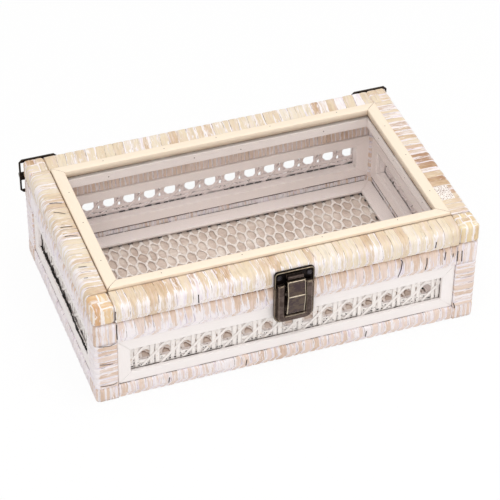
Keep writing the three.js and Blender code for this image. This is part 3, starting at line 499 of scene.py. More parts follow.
# Deep gaps: near-black painted shadow.
black = crevice_material("painted_gap_shadow", [(0.3, (12, 9, 9)), (0.55, (28, 22, 20)), (0.75, (58, 47, 42))])
seam = crevice_material("bead_seam", [(0.3, (88, 66, 50)), (0.5, (128, 100, 78)), (0.7, (178, 150, 122))])


# Rails wound with peel


def eased(value, low, high):
    """0 at low and below, 1 at high and above, smooth between."""
    f = np.clip((value - low) / (high - low), 0, 1)
    return f * f * (3 - 2 * f)


def rounded_loop(low, high, radii, step=1.1, arc=6):
    """A closed rounded rectangle, counterclockwise from its low corner: points, normals and the way
    along it. The radii are those of the corners low-low, high-low, high-high and low-high."""
    (x0, y0), (x1, y1) = low, high
    r = radii
    corners = [
        (x0 + r[0], y0 + r[0], r[0], 180), (x1 - r[1], y0 + r[1], r[1], 270),
        (x1 - r[2], y1 - r[2], r[2], 0), (x0 + r[3], y1 - r[3], r[3], 90),
    ]

    def on_arc(corner, turn):
        x, y, radius, start = corner
        a = math.radians(start + turn)
        return (x + radius * math.cos(a), y + radius * math.sin(a)), (math.cos(a), math.sin(a))

    points, normals = [], []
    for k, corner in enumerate(corners):
        for i in range(arc + 1):
            here, normal = on_arc(corner, 90 * i / arc)
            points.append(here)
            normals.append(normal)
        end, _ = on_arc(corners[(k + 1) % 4], 0)
        count = int(math.dist(here, end) / (step * 2.2))
        for i in range(1, count):
            f = i / count
            points.append((here[0] + (end[0] - here[0]) * f, here[1] + (end[1] - here[1]) * f))
            normals.append(normal)
    points, normals = np.array(points), np.array(normals)
    way = np.concatenate([[0], np.cumsum(np.linalg.norm(np.diff(points, axis=0), axis=1))])
    return points, normals, way


STRIP_PROFILE = [
    (0.0, -0.6), (0.05, -0.3), (0.14, -0.14), (0.3, -0.03), (0.5, 0.02),
    (0.7, -0.03), (0.86, -0.14), (0.95, -0.3), (1.0, -0.6),
]


def strip_edges(start, end, width, rng, spread=0.22):
    count = max(2, round((end - start) / width))
    raw = np.array([1 + rng.uniform(-spread, spread) for _ in range(count)])
    return np.concatenate([[start], start + (end - start) * np.cumsum(raw) / raw.sum()])


def strip_lines(edges, width, phase, slant, rng):
    """The wavy seams between strips. phase runs from 0 to 1 round the bar."""
    start, end = edges[0], edges[-1]
    lines = [np.full(len(phase), start)]
    for at in edges[1:-1]:
        lean = slant * width * (phase - 0.5)
        for size, turns in ((0.45, 2), (0.3, 4), (0.16, 9)):
            lean += rng.uniform(-size, size) * np.sin(turns * math.pi * (phase + rng.random()))
        room = min(1.0, (at - start) / (2 * width), (end - at) / (2 * width))
        lines.append(at + lean * room)
    return lines + [np.full(len(phase), end)]


def wound_strips(name, loop, start, end, width, rng, place, material, wash, slant=0.6, swell=1.0,
                 tone_at=0.0, zones=()):
    """Strips of peel laid side by side round a closed section, from start to end along the bar.
    wash and tone_at hold the white paint and the shift of tone at each point of the section.
    zones holds (from, to, shift of tone, shift of paint, more paint on every other strip)."""
    points, normals, way = loop
    count = len(points)
    edges = strip_edges(start, end, width, rng)
    lines = strip_lines(edges, width, way / way[-1], slant, rng)
    tone_at = np.broadcast_to(tone_at, count)
    verts, faces, peel, strip = [], [], [], []
    for i, (a, b) in enumerate(zip(lines, lines[1:])):
        tone = rng.random() if rng.random() > 0.12 else rng.choice([0.02, 0.98])
        seed = rng.uniform(0, 90)
        rise = rng.uniform(-0.12, 0.1)
        tilt = rng.uniform(-0.22, 0.22)
        paint = rng.gauss(0, 0.25)
        for low, high, tone_shift, paint_shift, odd_paint in zones:
            if low < (edges[i] + edges[i + 1]) / 2 < high:
                tone += tone_shift
                paint += paint_shift + (odd_paint if i % 2 else 0.0)
        faces += tube_faces(len(STRIP_PROFILE), count, len(verts))
        for s, h in STRIP_PROFILE:
            lift = h * swell + (rise + tilt * (s - 0.5) if 0 < s < 1 else 0) - 0.02
            p = points + normals * lift
            verts += zip(a + (b - a) * s, p[:, 0], p[:, 1])
            peel += zip((s - 0.5) * (b - a), way, [seed] * count)
            strip += zip(tone + tone_at, [1 - abs(2 * s - 1)] * count, wash + paint)
    for first in (0, len(verts) - count):
        faces += fan_faces(first, count, len(verts))
        verts.append(tuple(np.mean(np.array(verts[first:first + count]), axis=0)))
        peel.append((0, 0, 0))
        strip.append((0.5, 0.5, 0.2))
    return add_mesh(name, place(np.array(verts)), faces, material, peel=peel, strip=strip)


RAIL_ZONES = {
    "front_bottom_rail": [(-140, -45, 0.16, 0.45, 0.0), (-45, 20, 0.1, 0.1, 0.2), (20, 140, 0.06, 0.0, 0.4)],
    "front_top_rail": [(-140, -70, 0.14, 0.3, 0.35), (-70, 20, 0.06, 0.1, 0.2)],
}


def wrap_rails(rng):
    for side in SIDES:
        half = side.span / 2 - POST - 0.15
        # The left side takes extra white wash all over; this white is partly painted light, for the brighter
        # light on the box's left.
        white = 1.1 if side is LEFT else 0.0
        width = 3.7 if side in (BACK, RIGHT) else 6.2
        for kind, low, high, radii in (
            ("top_rail", TOP_LOW, BASE_TOP, (1.2, 1.2, 1.6, 6.0)),
            ("bottom_rail", 0.3, BOTTOM_TOP, (1.4, 1.2, 1.2, 2.4)),
        ):
            loop = rounded_loop((0, low), (BASE_RAIL, high), radii)
            height, facing = loop[0][:, 1], -loop[1][:, 0]
            outer = eased(facing, -0.2, 0.5)
            if kind == "top_rail":
                wash = white + outer * (0.95 - 1.1 * eased(height, 58.5, 70.5)) + 0.2 * (1 - outer)
                # Painted shade: the tone darkens towards the top of the outer face, and most in the band just
                # under the lid's edge, where the lid shades the rail.
                tone = 0.34 * (1 - outer) - 0.2 * outer * eased(height, 64.0, 70.0)
                tone = tone - 0.9 * eased(height, 71.2, 72.6) * eased(facing, 0.1, 0.4)
            else:
                wash = white + outer * 0.42 + 1.1 * (1 - outer)
                tone = 0.12 * outer + 0.25 * (1 - outer)
            node = f"{side.name}_{kind}"
            piece = wound_strips(
                f"peel_{node}", loop, -half, half, width, rng, side.placed, base_peel, wash,
                swell=0.85, tone_at=tone, zones=RAIL_ZONES.get(node, ()),
            )
            seat(piece, "base", "base_peel", node)


FRONT_ZONES = [(-140, -92, -0.36, -0.1, 0.55), (-92, -50, -0.06, 0.1, 0.3), (18, 140, 0.25, -0.25, 0.1)]
BACK_ZONES = [(-134, -82, -0.28, -0.2, 1.2), (20, 140, -0.1, -0.2, 0.0)]
RIGHT_ZONES = [(-44, -34, -0.5, -0.2, 0.6), (-24, 4, -0.25, 0.0, 0.7), (4, 70, -0.08, 0.3, 0.4)]


def wrap_lid(rng):
    for side, width, wash, outer_wash, tone, inner_tone, slant, zones in (
        (FRONT, 6.4, 0.3, 0.6, 0.1, 0.12, 0.2, FRONT_ZONES),
        (RIGHT, 6.2, 0.35, 0.5, -0.2, 0, -0.3, RIGHT_ZONES),
        (BACK, 7.4, 0.6, 0.5, 0.2, 0, -1.2, BACK_ZONES),
        (LEFT, 6.2, 0.35, 0.5, 0.0, 0, -1.2, ()),
    ):
        loop = rounded_loop((0, LID_LOW), (side.rail, LID_TOP), (1.4, 0.8, 1.0, side.edge), arc=9)
        half = side.span / 2 - (LEFT.rail + 0.03 if side.long else LID_CORNER)
        outer = eased(-loop[1][:, 0], 0.15, 0.9)
        inner = eased(loop[1][:, 0], 0.2, 0.8)
        wash = wash + outer_wash * outer - 0.3 * inner
        tone = tone - 0.3 * inner - inner_tone * (1 - outer)
        node = f"lid_{side.name}_rail"
        piece = wound_strips(
            f"peel_{node}", loop, -half, half, width, rng, side.placed, lid_peel, wash,
            slant, swell=0.5, tone_at=tone, zones=zones,
        )
        seat(piece, "lid", "lid_peel", node)


# Woven corners of the lid


def rounded_block(low, high, radius, cells):
    """A dense box: its flat points, and the same points and their normals with every edge rounded."""
    low, high = np.array(low, float), np.array(high, float)
    verts, faces, index = [], [], {}
    steps = [np.linspace(low[k], high[k], cells[k] + 1) for k in range(3)]

    def vertex(*key):
        if key not in index:
            index[key] = len(verts)
            verts.append([steps[axis][i] for axis, i in enumerate(key)])
        return index[key]

    for a, b, c in ((0, 1, 2), (0, 2, 1), (1, 2, 0)):
        for i, j, end in product(range(cells[a]), range(cells[b]), (0, cells[c])):
            corners = [{a: i + di, b: j + dj, c: end} for di, dj in ((0, 0), (1, 0), (1, 1), (0, 1))]
            faces.append([vertex(corner[0], corner[1], corner[2]) for corner in corners])
    flat = np.array(verts)
    inner = np.clip(flat, low + radius, high - radius)
    away = flat - inner
    normals = away / np.maximum(np.linalg.norm(away, axis=1, keepdims=True), 1e-9)
    return flat, inner + normals * radius, normals, faces


def strip_look(rng, wash, spread, light=1.0):
    """A strip's random tone, seed and share of white wash."""
    return light * rng.random(), rng.uniform(0, 90), min(1, max(0, wash + rng.gauss(0, spread)))


def cell_edges(start, size, count, rng):
    shares = [0.0] + [(i + 1 + rng.uniform(-0.15, 0.15)) / count for i in range(count - 1)] + [1.0]
    return [start + size * share for share in shares]


def cell_at(value, edges):
    """The cell that a place lies in, and how far across that cell it lies."""
    cell = sum(value >= edge for edge in edges[1:-1])
    return cell, (value - edges[cell]) / (edges[cell + 1] - edges[cell])


def weave_corners(rng):
    """Each corner is a block at the end of a side rail. Strips run over it both ways: woven on the
    top, upright on its two outer faces."""
    width = LEFT.rail
    for side, end, name, count, material, depth in (
        (LEFT, 1, "front_left", 2, corner_peel, 0.5), (RIGHT, -1, "front_right", 3, gold_corner_peel, 0.5),
        (LEFT, -1, "back_left", 2, soft_corner_peel, 0.3), (RIGHT, 1, "back_right", 2, soft_corner_peel, 0.4),
    ):
        span = side.span / 2
        low = (span - LID_CORNER, 0.0, LID_LOW + 0.02)
        flat, points, normals, faces = rounded_block(low, (span, width, LID_TOP), 3.0, (44, 40, 36))
        across_u = cell_edges(low[0], LID_CORNER, count, rng)
        across_t = cell_edges(0.0, width, count, rng)
        looks = {(k, i): strip_look(rng, 0.45, 0.35) for k in "ut" for i in range(count)}
        peel, strip, moved = [], [], []
        for p, q, n in zip(flat, points, normals):
            cell_u, share_u = cell_at(p[0], across_u)
            cell_t, share_t = cell_at(p[1], across_t)
            top = n[2] > 0.75
            over = (cell_u + cell_t) % 2 == 0 if top else abs(n[1]) > abs(n[0])
            share, other = (share_u, share_t) if over else (share_t, share_u)
            tone, seed, paint = looks[("u", cell_u) if over else ("t", cell_t)]
            middle = 1 - abs(2 * share - 1)
            drop = -depth * (1 - min(1.0, middle * 7)) - 0.04 * (1 - middle)
            if top:
                drop -= 0.6 * depth * (2 * other - 1) ** 6
            moved.append(q + n * (drop if n[2] > -0.5 else 0))
            peel.append(((share - 0.5) * 6, (p[1] if over else p[0]) - p[2], seed))
            strip.append((tone, middle, paint))
        moved = np.array(moved) * (end, 1, 1)
        piece = add_mesh(
            f"peel_lid_corner_{name}", side.placed(moved), faces, material, peel=peel, strip=strip,
        )
        seat(piece, "lid", "lid_peel", f"lid_{side.name}_rail")


# Posts


def post_place(sx, sy):
    """Gives a function that turns points, measured from a post's outer corner, into the row frame."""
    def place(points):
        x, y, z = np.asarray(points, float).T
        return np.stack([sx * (x - LENGTH / 2), sy * (y - DEPTH / 2) + CENTRE_Y, z], 1) * MM
    return place


def upright_strips(name, low, high, rng, place, wash, light):
    """Strips laid upright round the end of a post, folded over its outer edges. light scales their tones."""
    width = 4.3
    points, normals, way = rounded_loop((0, 0), (POST, POST), (3.6, 1.0, 4.0, 1.0), 0.25, 8)
    count = len(points)
    edges = strip_edges(0, way[-1], width, rng)
    looks = [strip_look(rng, wash, 0.3, light) for _ in edges]
    levels = np.linspace(low, high, 7)
    verts, peel, strip = [], [], []
    for level in levels:
        ease = 0.35 if level in (levels[0], levels[-1]) else 0.0
        for k in range(count):
            cell = min(int(np.searchsorted(edges, way[k], "right")) - 1, len(edges) - 2)
            share = (way[k] - edges[cell]) / (edges[cell + 1] - edges[cell])
            middle = 1 - abs(2 * share - 1)
            x, y = points[k] + normals[k] * (-0.6 * (1 - min(1.0, middle * 5)) - ease)
            tone, seed, paint = looks[cell]
            verts.append((x, y, level))
            peel.append(((share - 0.5) * width, level, seed))
            strip.append((tone, middle, paint))
    faces = tube_faces(len(levels), count)
    for first, level in ((0, levels[0]), (len(verts) - count, levels[-1])):
        faces += fan_faces(first, count, len(verts))
        verts.append((POST / 2, POST / 2, level))
        peel.append((0, 0, 0))
        strip.append((0.4, 0.6, 0.4))
    return add_mesh(name, place(np.array(verts)), faces, base_peel, peel=peel, strip=strip)


def wrap_posts(rng):
    loop = rounded_loop((0, 0), (POST, POST), (3.8, 1.0, 4.0, 1.0))
    for node, sx, sy in (
        ("post_front_left", 1, 1), ("post_front_right", -1, 1),
        ("post_back_right", -1, -1), ("post_back_left", 1, -1),
    ):
        place = post_place(sx, sy)
        # The left posts take the most white wash; this white is partly painted light, for the brighter light
        # on the box's left.
        wash = 0.4 + eased(-sx * loop[1][:, 0], -0.2, 0.6) * (1.3 if sx > 0 else 0.5)
        middle = wound_strips(
            f"peel_{node}_middle", loop, BOTTOM_TOP, TOP_LOW, 5.2, rng,
            lambda p, place=place: place(p[:, (1, 2, 0)]), base_peel, wash, 0.3,
        )
        seat(middle, "base", "base_peel", node)
        for kind, low, high, wash, light in (
            ("foot", 0.12, BOTTOM_TOP - 0.1, 0.45, 0.55), ("head", TOP_LOW + 0.1, BASE_TOP, 0.9, 1.0),
        ):
            piece = upright_strips(f"peel_{node}_{kind}", low, high, rng, place, wash, light)
            seat(piece, "base", "base_peel", node)


# Mitred strips

# The rows just inside the ends keep the flat ends from shading the long faces.
MITRE_STEPS = [0.0, 0.0004] + [i / 14 for i in range(1, 14)] + [0.9996, 1.0]


def mitred(name, profile, outer, inner, material, place, seed):
    """A strip whose profile runs from its outer edge (0) to its inner edge (1). outer and inner are the
    two lines (start, end) that the edges lie on, and the profile holds (share across, a, b)."""
    verts = []
    for f in MITRE_STEPS:
        for share, a, b in profile:
            start, stop = (far + (near - far) * share for far, near in zip(outer, inner))
            verts.append((start + (stop - start) * f, a, b))
    verts = np.array(verts)
    count, last = len(profile), len(verts) - len(profile)
    faces = [tuple(range(count)), tuple(range(last, last + count))]
    faces += tube_faces(len(MITRE_STEPS), count)
    grain = verts + np.array([seed, seed * 3, seed * 7])
    return add_mesh(name, place(verts), faces, material, smooth=False, grain=grain)


def eased_profile(a0, a1, b0, b1, ease, outer_is_low=True, turned=False):
    """A rectangle with eased edges. Share across is measured along b, or along a when turned."""
    points, _, _ = rounded_loop((a0, b0), (a1, b1), (ease,) * 4, 99, 3)
    result = []
    for a, b in points:
        share = (a - a0) / (a1 - a0) if turned else (b - b0) / (b1 - b0)
        result.append((share if outer_is_low else 1 - share, a, b))
    return result


def joined(name, pieces):
    bpy.ops.object.select_all(action="DESELECT")
    for piece in pieces:
        piece.select_set(True)
    bpy.context.view_layer.objects.active = pieces[0]
    bpy.ops.object.join()
    pieces[0].name = name
    return pieces[0]


def window_frame(name, side, half, low, high, depths, ease, material, seed):
    """Four mitred strips round a side's window, between two depths behind its outer face."""
    opening_half = side.panel - STILE
    opening_low, opening_high = side.window
    gap = 0.12
    level = (-half + gap, half - gap), (-opening_half + gap, opening_half - gap)
    upright = (low + gap, high - gap), (opening_low + gap, opening_high - gap)
    pieces = []
    for kind, start, end, outer_is_low, edges in (
        ("low", low, opening_low, True, level), ("high", opening_high, high, False, level),
        ("left", -half, -opening_half, True, upright), ("right", opening_half, half, False, upright),
    ):
        place = side.placed if edges is level else lambda p: side.placed(p[:, ::-1])
        profile = eased_profile(*depths, start, end, ease, outer_is_low)
        number = seed + len(pieces) * 11
        pieces.append(mitred(f"{name}_{kind}", profile, *edges, material, place, number))
    return joined(name, pieces)


def build_mouldings():
    for i, side in enumerate(SIDES):
        board_half = side.span / 2 - INNER_BOARD_END
        for name, node, half, low, depths, ease, paint, seed in (
            ("outer_moulding", "outer", side.panel, PANEL[0], OUTER_MOULDING, 0.5, moulding_paint, 10),
            ("inner_batten", "inner", side.panel, PANEL[0], INNER_BATTEN, 0.3, inner_paint, 300),
            ("inner_board", "inner", board_half, PANEL[0] + 1.5, INNER_BOARD, 0.6, inner_paint, 600),
        ):
            piece = window_frame(
                f"paint_{side.name}_{name}", side, half, low, PANEL[1], depths, ease, paint, seed + i * 50,
            )
            seat(piece, "base", "moulding_wood", f"{side.name}_{node}_moulding")


def bead_section(width, high=BEAD_TOP):
    """A bead with a nearly flat crown and eased edges, as (share across, t, z) from its outer edge."""
    shoulder = BEAD_LOW + (high - BEAD_LOW) * 0.66
    points = [(0.0, BEAD_LOW), (0.0, shoulder - 0.2)]
    for i in range(1, 24):
        a = math.pi * i / 24
        points.append((width / 2 * (1 - math.cos(a)), shoulder + (high - shoulder) * math.sin(a) ** 0.22))
    points += [(width, shoulder - 0.2), (width, BEAD_LOW)]
    return [(t / width, t, z) for t, z in points]


def lid_strip(name, side, section, material, seed):
    start, end = side.opening(0.5)
    profile = [(f, t + (side.rail + BEAD_GAP), z) for f, t, z in section]
    inner = (start + side.before.bead, end - side.after.bead)
    return mitred(name, profile, (start, end), inner, material, side.placed, seed)


def build_lid_strips():
    for i, side in enumerate(SIDES):
        bead = lid_strip(
            f"paint_lid_{side.name}_bead", side, bead_section(side.bead), bead_paint, 900 + 37 * i,
        )
        bead.data.polygons.foreach_set("use_smooth", [len(p.vertices) == 4 for p in bead.data.polygons])
        seat(bead, "lid", "bead_wood", f"lid_{side.name}_bead")
        rest = eased_profile(0, side.bead, *GLASS_REST, 0.5, turned=True)
        piece = lid_strip(f"paint_lid_{side.name}_glass_rest", side, rest, inner_paint, 1200 + 41 * i)
        seat(piece, "lid", "moulding_wood", f"lid_{side.name}_glass_rest")


def build_floor_strips():
    width = FLOOR_STRIP_WIDTH
    for i, side in enumerate(SIDES):
        section = eased_profile(0, width, *FLOOR_STRIP, 0.7, turned=True)
        profile = [(f, t + FLOOR_STRIP_INSET, z) for f, t, z in section]
        reach = side.after.reach - FLOOR_STRIP_END
        outer, inner = (-reach, reach), (-reach + width, reach - width)
        node = f"floor_{side.name}_moulding"
        piece = mitred(f"paint_{node}", profile, outer, inner, inner_paint, side.placed, 1500 + 29 * i)
        seat(piece, "base", "moulding_wood", node)


# Cane


class Strands:
    """Flattened strands, collected in one mesh."""

    ring = [(-0.5, 0.0), (-0.32, 0.42), (0.0, 0.5), (0.32, 0.42), (0.5, 0.0), (0.32, -0.42), (-0.32, -0.42)]

    def __init__(self):
        self.points, self.faces, self.peel = [], [], []

    def add(self, path, across, normal, width, thick, seed):
        """One strand along a path. The width is one number or one for each point."""
        base, count, way = len(self.points), len(self.ring), 0.0
        for i, (p, wide) in enumerate(zip(path, np.broadcast_to(width, len(path)))):
            if i:
                way += math.dist(p, path[i - 1])
            for a, h in self.ring:
                self.points.append(np.array(p) + across * (a * wide) + normal * (h * thick))
                self.peel.append((a * wide, way, seed))
        last = len(self.points) - count
        self.faces += tube_faces(len(path), count, base)
        self.faces.append(tuple(range(base, base + count)))
        self.faces.append(tuple(reversed(range(last, last + count))))

    def finish(self, name, material, place, body, slot, *replaced):
        piece = add_mesh(name, place(np.array(self.points)), self.faces, material, peel=self.peel)
        seat(piece, body, slot, *replaced)


def clipped(start, direction, low, high):
    """The two ends of a line through start, cut to a rectangle."""
    lo, hi = -1e9, 1e9
    for k in range(2):
        if abs(direction[k]) < 1e-9:
            if not low[k] <= start[k] <= high[k]:
                return None
            continue
        a, b = (low[k] - start[k]) / direction[k], (high[k] - start[k]) / direction[k]
        lo, hi = max(lo, min(a, b)), min(hi, max(a, b))
    return (lo, hi) if hi - lo > 3 else None


def weave_window(side, rng):
    """A cane panel: pairs of strands both ways and single strands on both slants, so that each hole
    between them has eight sides."""
    pitch = 17.1 if side is BACK else CANE_PITCH
    ratio = pitch / CANE_PITCH
    half = side.span / 2 - POST - 0.6
    low, high = (-half, PANEL[0] + 0.3), (half, PANEL[1] - 0.3)
    middle = side.holes
    count = 15 if side.long else 8
    first = -(count - 1) / 2 * pitch
    strands = Strands()

    def strand(start, direction, width, layer, wave, phase=0):
        cut = clipped(start, direction, low, high)
        if cut is None:
            return
        steps = max(4, int((cut[1] - cut[0]) / 1.4))
        path = []
        drift = rng.uniform(-0.25, 0.25)
        for i in range(steps + 1):
            d = cut[0] + (cut[1] - cut[0]) * i / steps
            u, z = start[0] + direction[0] * d, start[1] + direction[1] * d
            t = CANE_DEPTH - layer - wave * math.cos(2 * math.pi * d / pitch + phase)
            sway = drift * math.sin(d / 9 + start[0])
            path.append((u - direction[1] * sway, t, z + direction[0] * sway))
        across = np.array([-direction[1], 0, direction[0]])
        wide = width * ratio * rng.uniform(0.88, 1.1)
        strands.add(path, across, np.array(OUTWARDS), wide, 0.5, rng.uniform(0, 90))

    upright_offset, upright_width = {FRONT: (2.1, 3.55), BACK: (2.25, 3.1)}.get(side, (2.35, 3.9))
    level_offset, level_width = {FRONT: (1.9, 3.5), BACK: (1.75, 3.4)}.get(side, (2.0, 3.3))
    for row in range(-1, 3):
        z = middle + (row - 0.5) * pitch
        for offset in (-level_offset, level_offset):
            strand((first, z + offset * ratio), (1, 0), level_width, -0.25, 0.15, row * math.pi)
    for column in range(-2, count + 2):
        u = first + (column - 0.5) * pitch
        for offset in (-upright_offset, upright_offset):
            strand((u + offset * ratio, middle), (0, 1), upright_width, 0.2, 0.2, column * math.pi)
    root = math.sqrt(0.5)
    for k in range(-6, count + 6):
        at = first + (k + 0.5) * pitch
        strand((at, middle), (root, root), 2.5, 0.5, 0.12)
        strand((at, middle), (root, -root), 2.5, -0.55, 0.12)
    paint = inside_cane_paint if side in (BACK, RIGHT) else cane_paint
    strands.finish(f"weave_{side.name}_cane", paint, side.placed, "base", "cane", f"{side.name}_cane_panel")


def weave_floor(rng):
    """The floor's cane: zigzag strands along the box and short ones from crest to trough between
    them, so that the long six-sided cells lie in staggered rows."""
    half_u, half_v = LENGTH / 2 - 15, DEPTH / 2 - 15
    pitch, row_gap, step = 8.3, 11.1, 0.7
    top = 5.35
    strands = Strands()
    rows = int(2 * half_v / row_gap) + 1
    shifts = [rng.uniform(-0.5, 0.5) for _ in range(rows + 1)]

    def zigzag(j, u):
        crest = (1 if j % 2 else -1) * 1.9 * math.cos(2 * math.pi * u / pitch)
        bend = crest + 0.6 * math.sin(u / 23 + j) + 0.45 * math.sin(u / 3.7 + 2 * j)
        return -half_v + j * row_gap + shifts[j] + bend

    across_u, across_v, level = np.array(ALONG), np.array(INWARDS), np.array(UPRIGHT)
    for j in range(rows + 1):
        path, widths = [], []
        wide = rng.uniform(2.2, 3.0)
        for i in range(int(2 * half_u / step) + 1):
            u = -half_u + i * step
            v = min(half_v, max(-half_v, zigzag(j, u)))
            path.append((u, v, top - 0.35 + 0.15 * math.sin(2 * math.pi * u / pitch + math.pi * j)))
            swell = 0.5 * math.sin(u / 5.3 + 3 * j)
            widths.append(wide + swell + 0.3 * math.sin(u / 1.9 + j) + rng.uniform(-0.2, 0.2))
        strands.add(path, across_v, level, widths, 0.5, rng.uniform(0, 90))
    for j in range(rows):
        k = int(-half_u / pitch) - 1
        shift = 0.0 if j % 2 else pitch / 2
        while k * pitch + shift < half_u:
            u = k * pitch + shift + rng.uniform(-0.5, 0.5)
            k += 1
            a, b = max(zigzag(j, u) - 0.5, -half_v), min(zigzag(j + 1, u) + 0.5, half_v)
            if u < -half_u + 1 or b - a < 3:
                continue
            sway, wide = rng.uniform(-0.8, 0.8), rng.uniform(1.4, 2.8)
            path, widths = [], []
            for i in range(9):
                f = i / 8
                hump = math.sin(math.pi * f)
                path.append((u + sway * hump, a + (b - a) * f, top - 0.32 + 0.15 * hump))
                widths.append(wide + 1.7 * abs(2 * f - 1) ** 2)
            strands.add(path, across_u, level, widths, 0.45, rng.uniform(0, 90))
    place = lambda points: in_metres(points + (0, CENTRE_Y, 0))
    strands.finish("weave_floor_cane", floor_cane_paint, place, "base", "cane", "floor_cane")


# Dark crevices: painted shade and shadow, with waxy dirt


def facing_out(t, z, stray=1):
    """A level line on a face that looks outwards: its points, its way across and its normal."""
    return (lambda u, w: (u, t, z + stray * w)), UPRIGHT, OUTWARDS


def facing_up(t, z, stray=1):
    """A level line on a face that looks up."""
    return (lambda u, w: (u, t + stray * w, z)), INWARDS, UPRIGHT


def standing(u, t):
    """An upright line on a face that looks outwards."""
    return (lambda z, w: (u + w, t, z)), ALONG, OUTWARDS


class Crevices(Strands):
    """Thin dark lines lying on the sides, all in one mesh."""

    def __init__(self, rng):
        super().__init__()
        self.rng = rng

    def line(self, side, points, across, normal, thick):
        """A line through points (u, t, z) of a side."""
        spin = Matrix.Rotation(side.turn, 3, "Z")
        across, normal = np.array(spin @ Vector(across)), np.array(spin @ Vector(normal))
        self.add(side.placed(points) / MM, across, normal, thick, 0.1, self.rng.uniform(0, 90))

    def dashes(self, side, start, end, run, thick, fill, length, space=(0.9, 1.5)):
        """Broken lines from start to end. run holds the point for a place along the line and a small
        shift, the way across and the normal."""
        rng = self.rng
        at, across, normal = run
        here = start
        while here < end:
            size = rng.uniform(0.5, 1.5) * length
            if rng.random() < fill:
                stop = min(end, here + size)
                points = [at(here + (stop - here) * i / 6, rng.uniform(-0.08, 0.08)) for i in range(7)]
                self.line(side, points, across, normal, thick * rng.uniform(0.7, 1.25))
            here += size * rng.uniform(*space)


BASE_SLIVERS = [
    ((86.1, 56.3), (88.2, 62.6), (88.9, 70.3), (87.6, 72.6)), ((108.2, 57.1), (109.4, 63.0), (109.1, 68.7)),
    ((124.5, 70.3), (123.9, 62.7)), ((130.8, 67.2), (130.7, 63.7)), ((134.6, 68.4), (134.5, 58.5)),
    ((-134.6, 72.6), (-134.8, 66.0), (-134.5, 58.2)), ((-96.0, 4.0), (-95.4, 9.0)),
    ((-35.0, 3.0), (-34.2, 8.5)), ((62.0, 3.5), (62.8, 9.0)),
    ((-148.6, 55.0), (-146.2, 54.3), (-140.0, 53.5), (-135.9, 54.8)),
    ((-148.6, 16.0), (-145.0, 15.2), (-139.0, 15.0), (-135.9, 16.2)),
    ((-148.4, 37.2), (-143.0, 36.2), (-138.4, 35.6)), ((138.0, 68.0), (138.4, 57.4)),
    ((134.5, 17.0), (135.7, 13.4), (135.9, 11.0)),
]
LID_SLIVERS = [
    ((-135.0, 85.0), (-135.3, 81.0), (-135.1, 76.9)), ((-72.2, 83.5), (-72.0, 75.5)),
    ((115.9, 82.3), (115.5, 76.7)),
]
TOP_SLIVERS = [
    ((5.0, -35.2), (9.5, -34.6), (14.0, -32.6)), ((5.0, -23.8), (8.5, -22.3), (13.0, -19.3)),
    ((4.8, -4.4), (8.0, -4.1), (13.8, -3.1)), ((4.8, 7.0), (9.3, 7.2), (14.2, 9.4)),
    ((4.8, 57.6), (7.6, 58.0)), ((4.6, 44.3), (10.6, 45.3)),
]
# Dark marks of painted shadow where the right window's cane shows the dark behind it.
RIGHT_GAPS = [
    (((65.8, 30.0), (64.4, 33.0), (64.0, 35.6)), 1.1), (((50.8, 23.4), (50.0, 26.2)), 1.4),
    (((36.4, 30.8), (36.0, 32.6)), 0.9), (((25.6, 33.0), (25.2, 34.8)), 0.8),
    (((12.0, 28.4), (11.4, 30.6)), 0.9),
]


def window_crevices(side, lines, gap):
    """Dark lines of painted shade with waxy dirt round a window's opening, and dark dashes of painted shadow
    in the gaps at the foot of its cane and behind it.
    """
    # lines draws painted shade with waxy dirt; gap draws the darkest painted shadow.
    half = side.panel - STILE
    low, high = side.window
    rim = facing_out(4.95, low + 0.22)
    if side is LEFT:
        at = lambda u, w: (u, 4.1 - float(eased(u, 5, 40)) + 4 * w, low + 0.12)
        gap.dashes(side, -half, half, (at, INWARDS, UPRIGHT), 1.5, 1.0, 6, (0.7, 0.9))
    elif side is FRONT:
        lines.dashes(side, -half, 0, rim, 0.5, 0.9, 8, (0.8, 1.1))
        for store, rise, stray, thick, fill, length, space in (
            (gap, 1.4, 4, 0.9, 0.75, 1.3, (1.2, 3.4)), (gap, 4.2, 8, 0.7, 0.6, 1.0, (1.5, 4.5)),
            (lines, 7.0, 8, 0.6, 0.5, 1.0, (2.0, 6.0)),
        ):
            run = facing_out(5.75, low + rise, stray)
            store.dashes(side, -half + 1, half - 1, run, thick, fill, length, space)
        lines.dashes(side, 0, half, rim, 0.45, 0.6, 4)
    else:
        lines.dashes(side, -half, half, rim, 0.5, 0.8, 6)
    for u in (-half + 0.2, half - 0.2):
        lines.dashes(side, low, high, standing(u, 4.95), 0.4, 0.6, 4)
    if side is BACK:
        gap.dashes(side, -half, half, facing_out(7.1, low + 0.6), 0.9, 0.9, 4.0, (1.2, 2.0))
        lines.dashes(side, -half, half, facing_out(7.1, low + 4.5, 12), 0.5, 0.5, 1.5, (1.0, 3.0))
    elif side is not LEFT:
        lines.dashes(side, -half, half, facing_out(7.08, low + 0.3), 0.55, 0.6, 2.6)


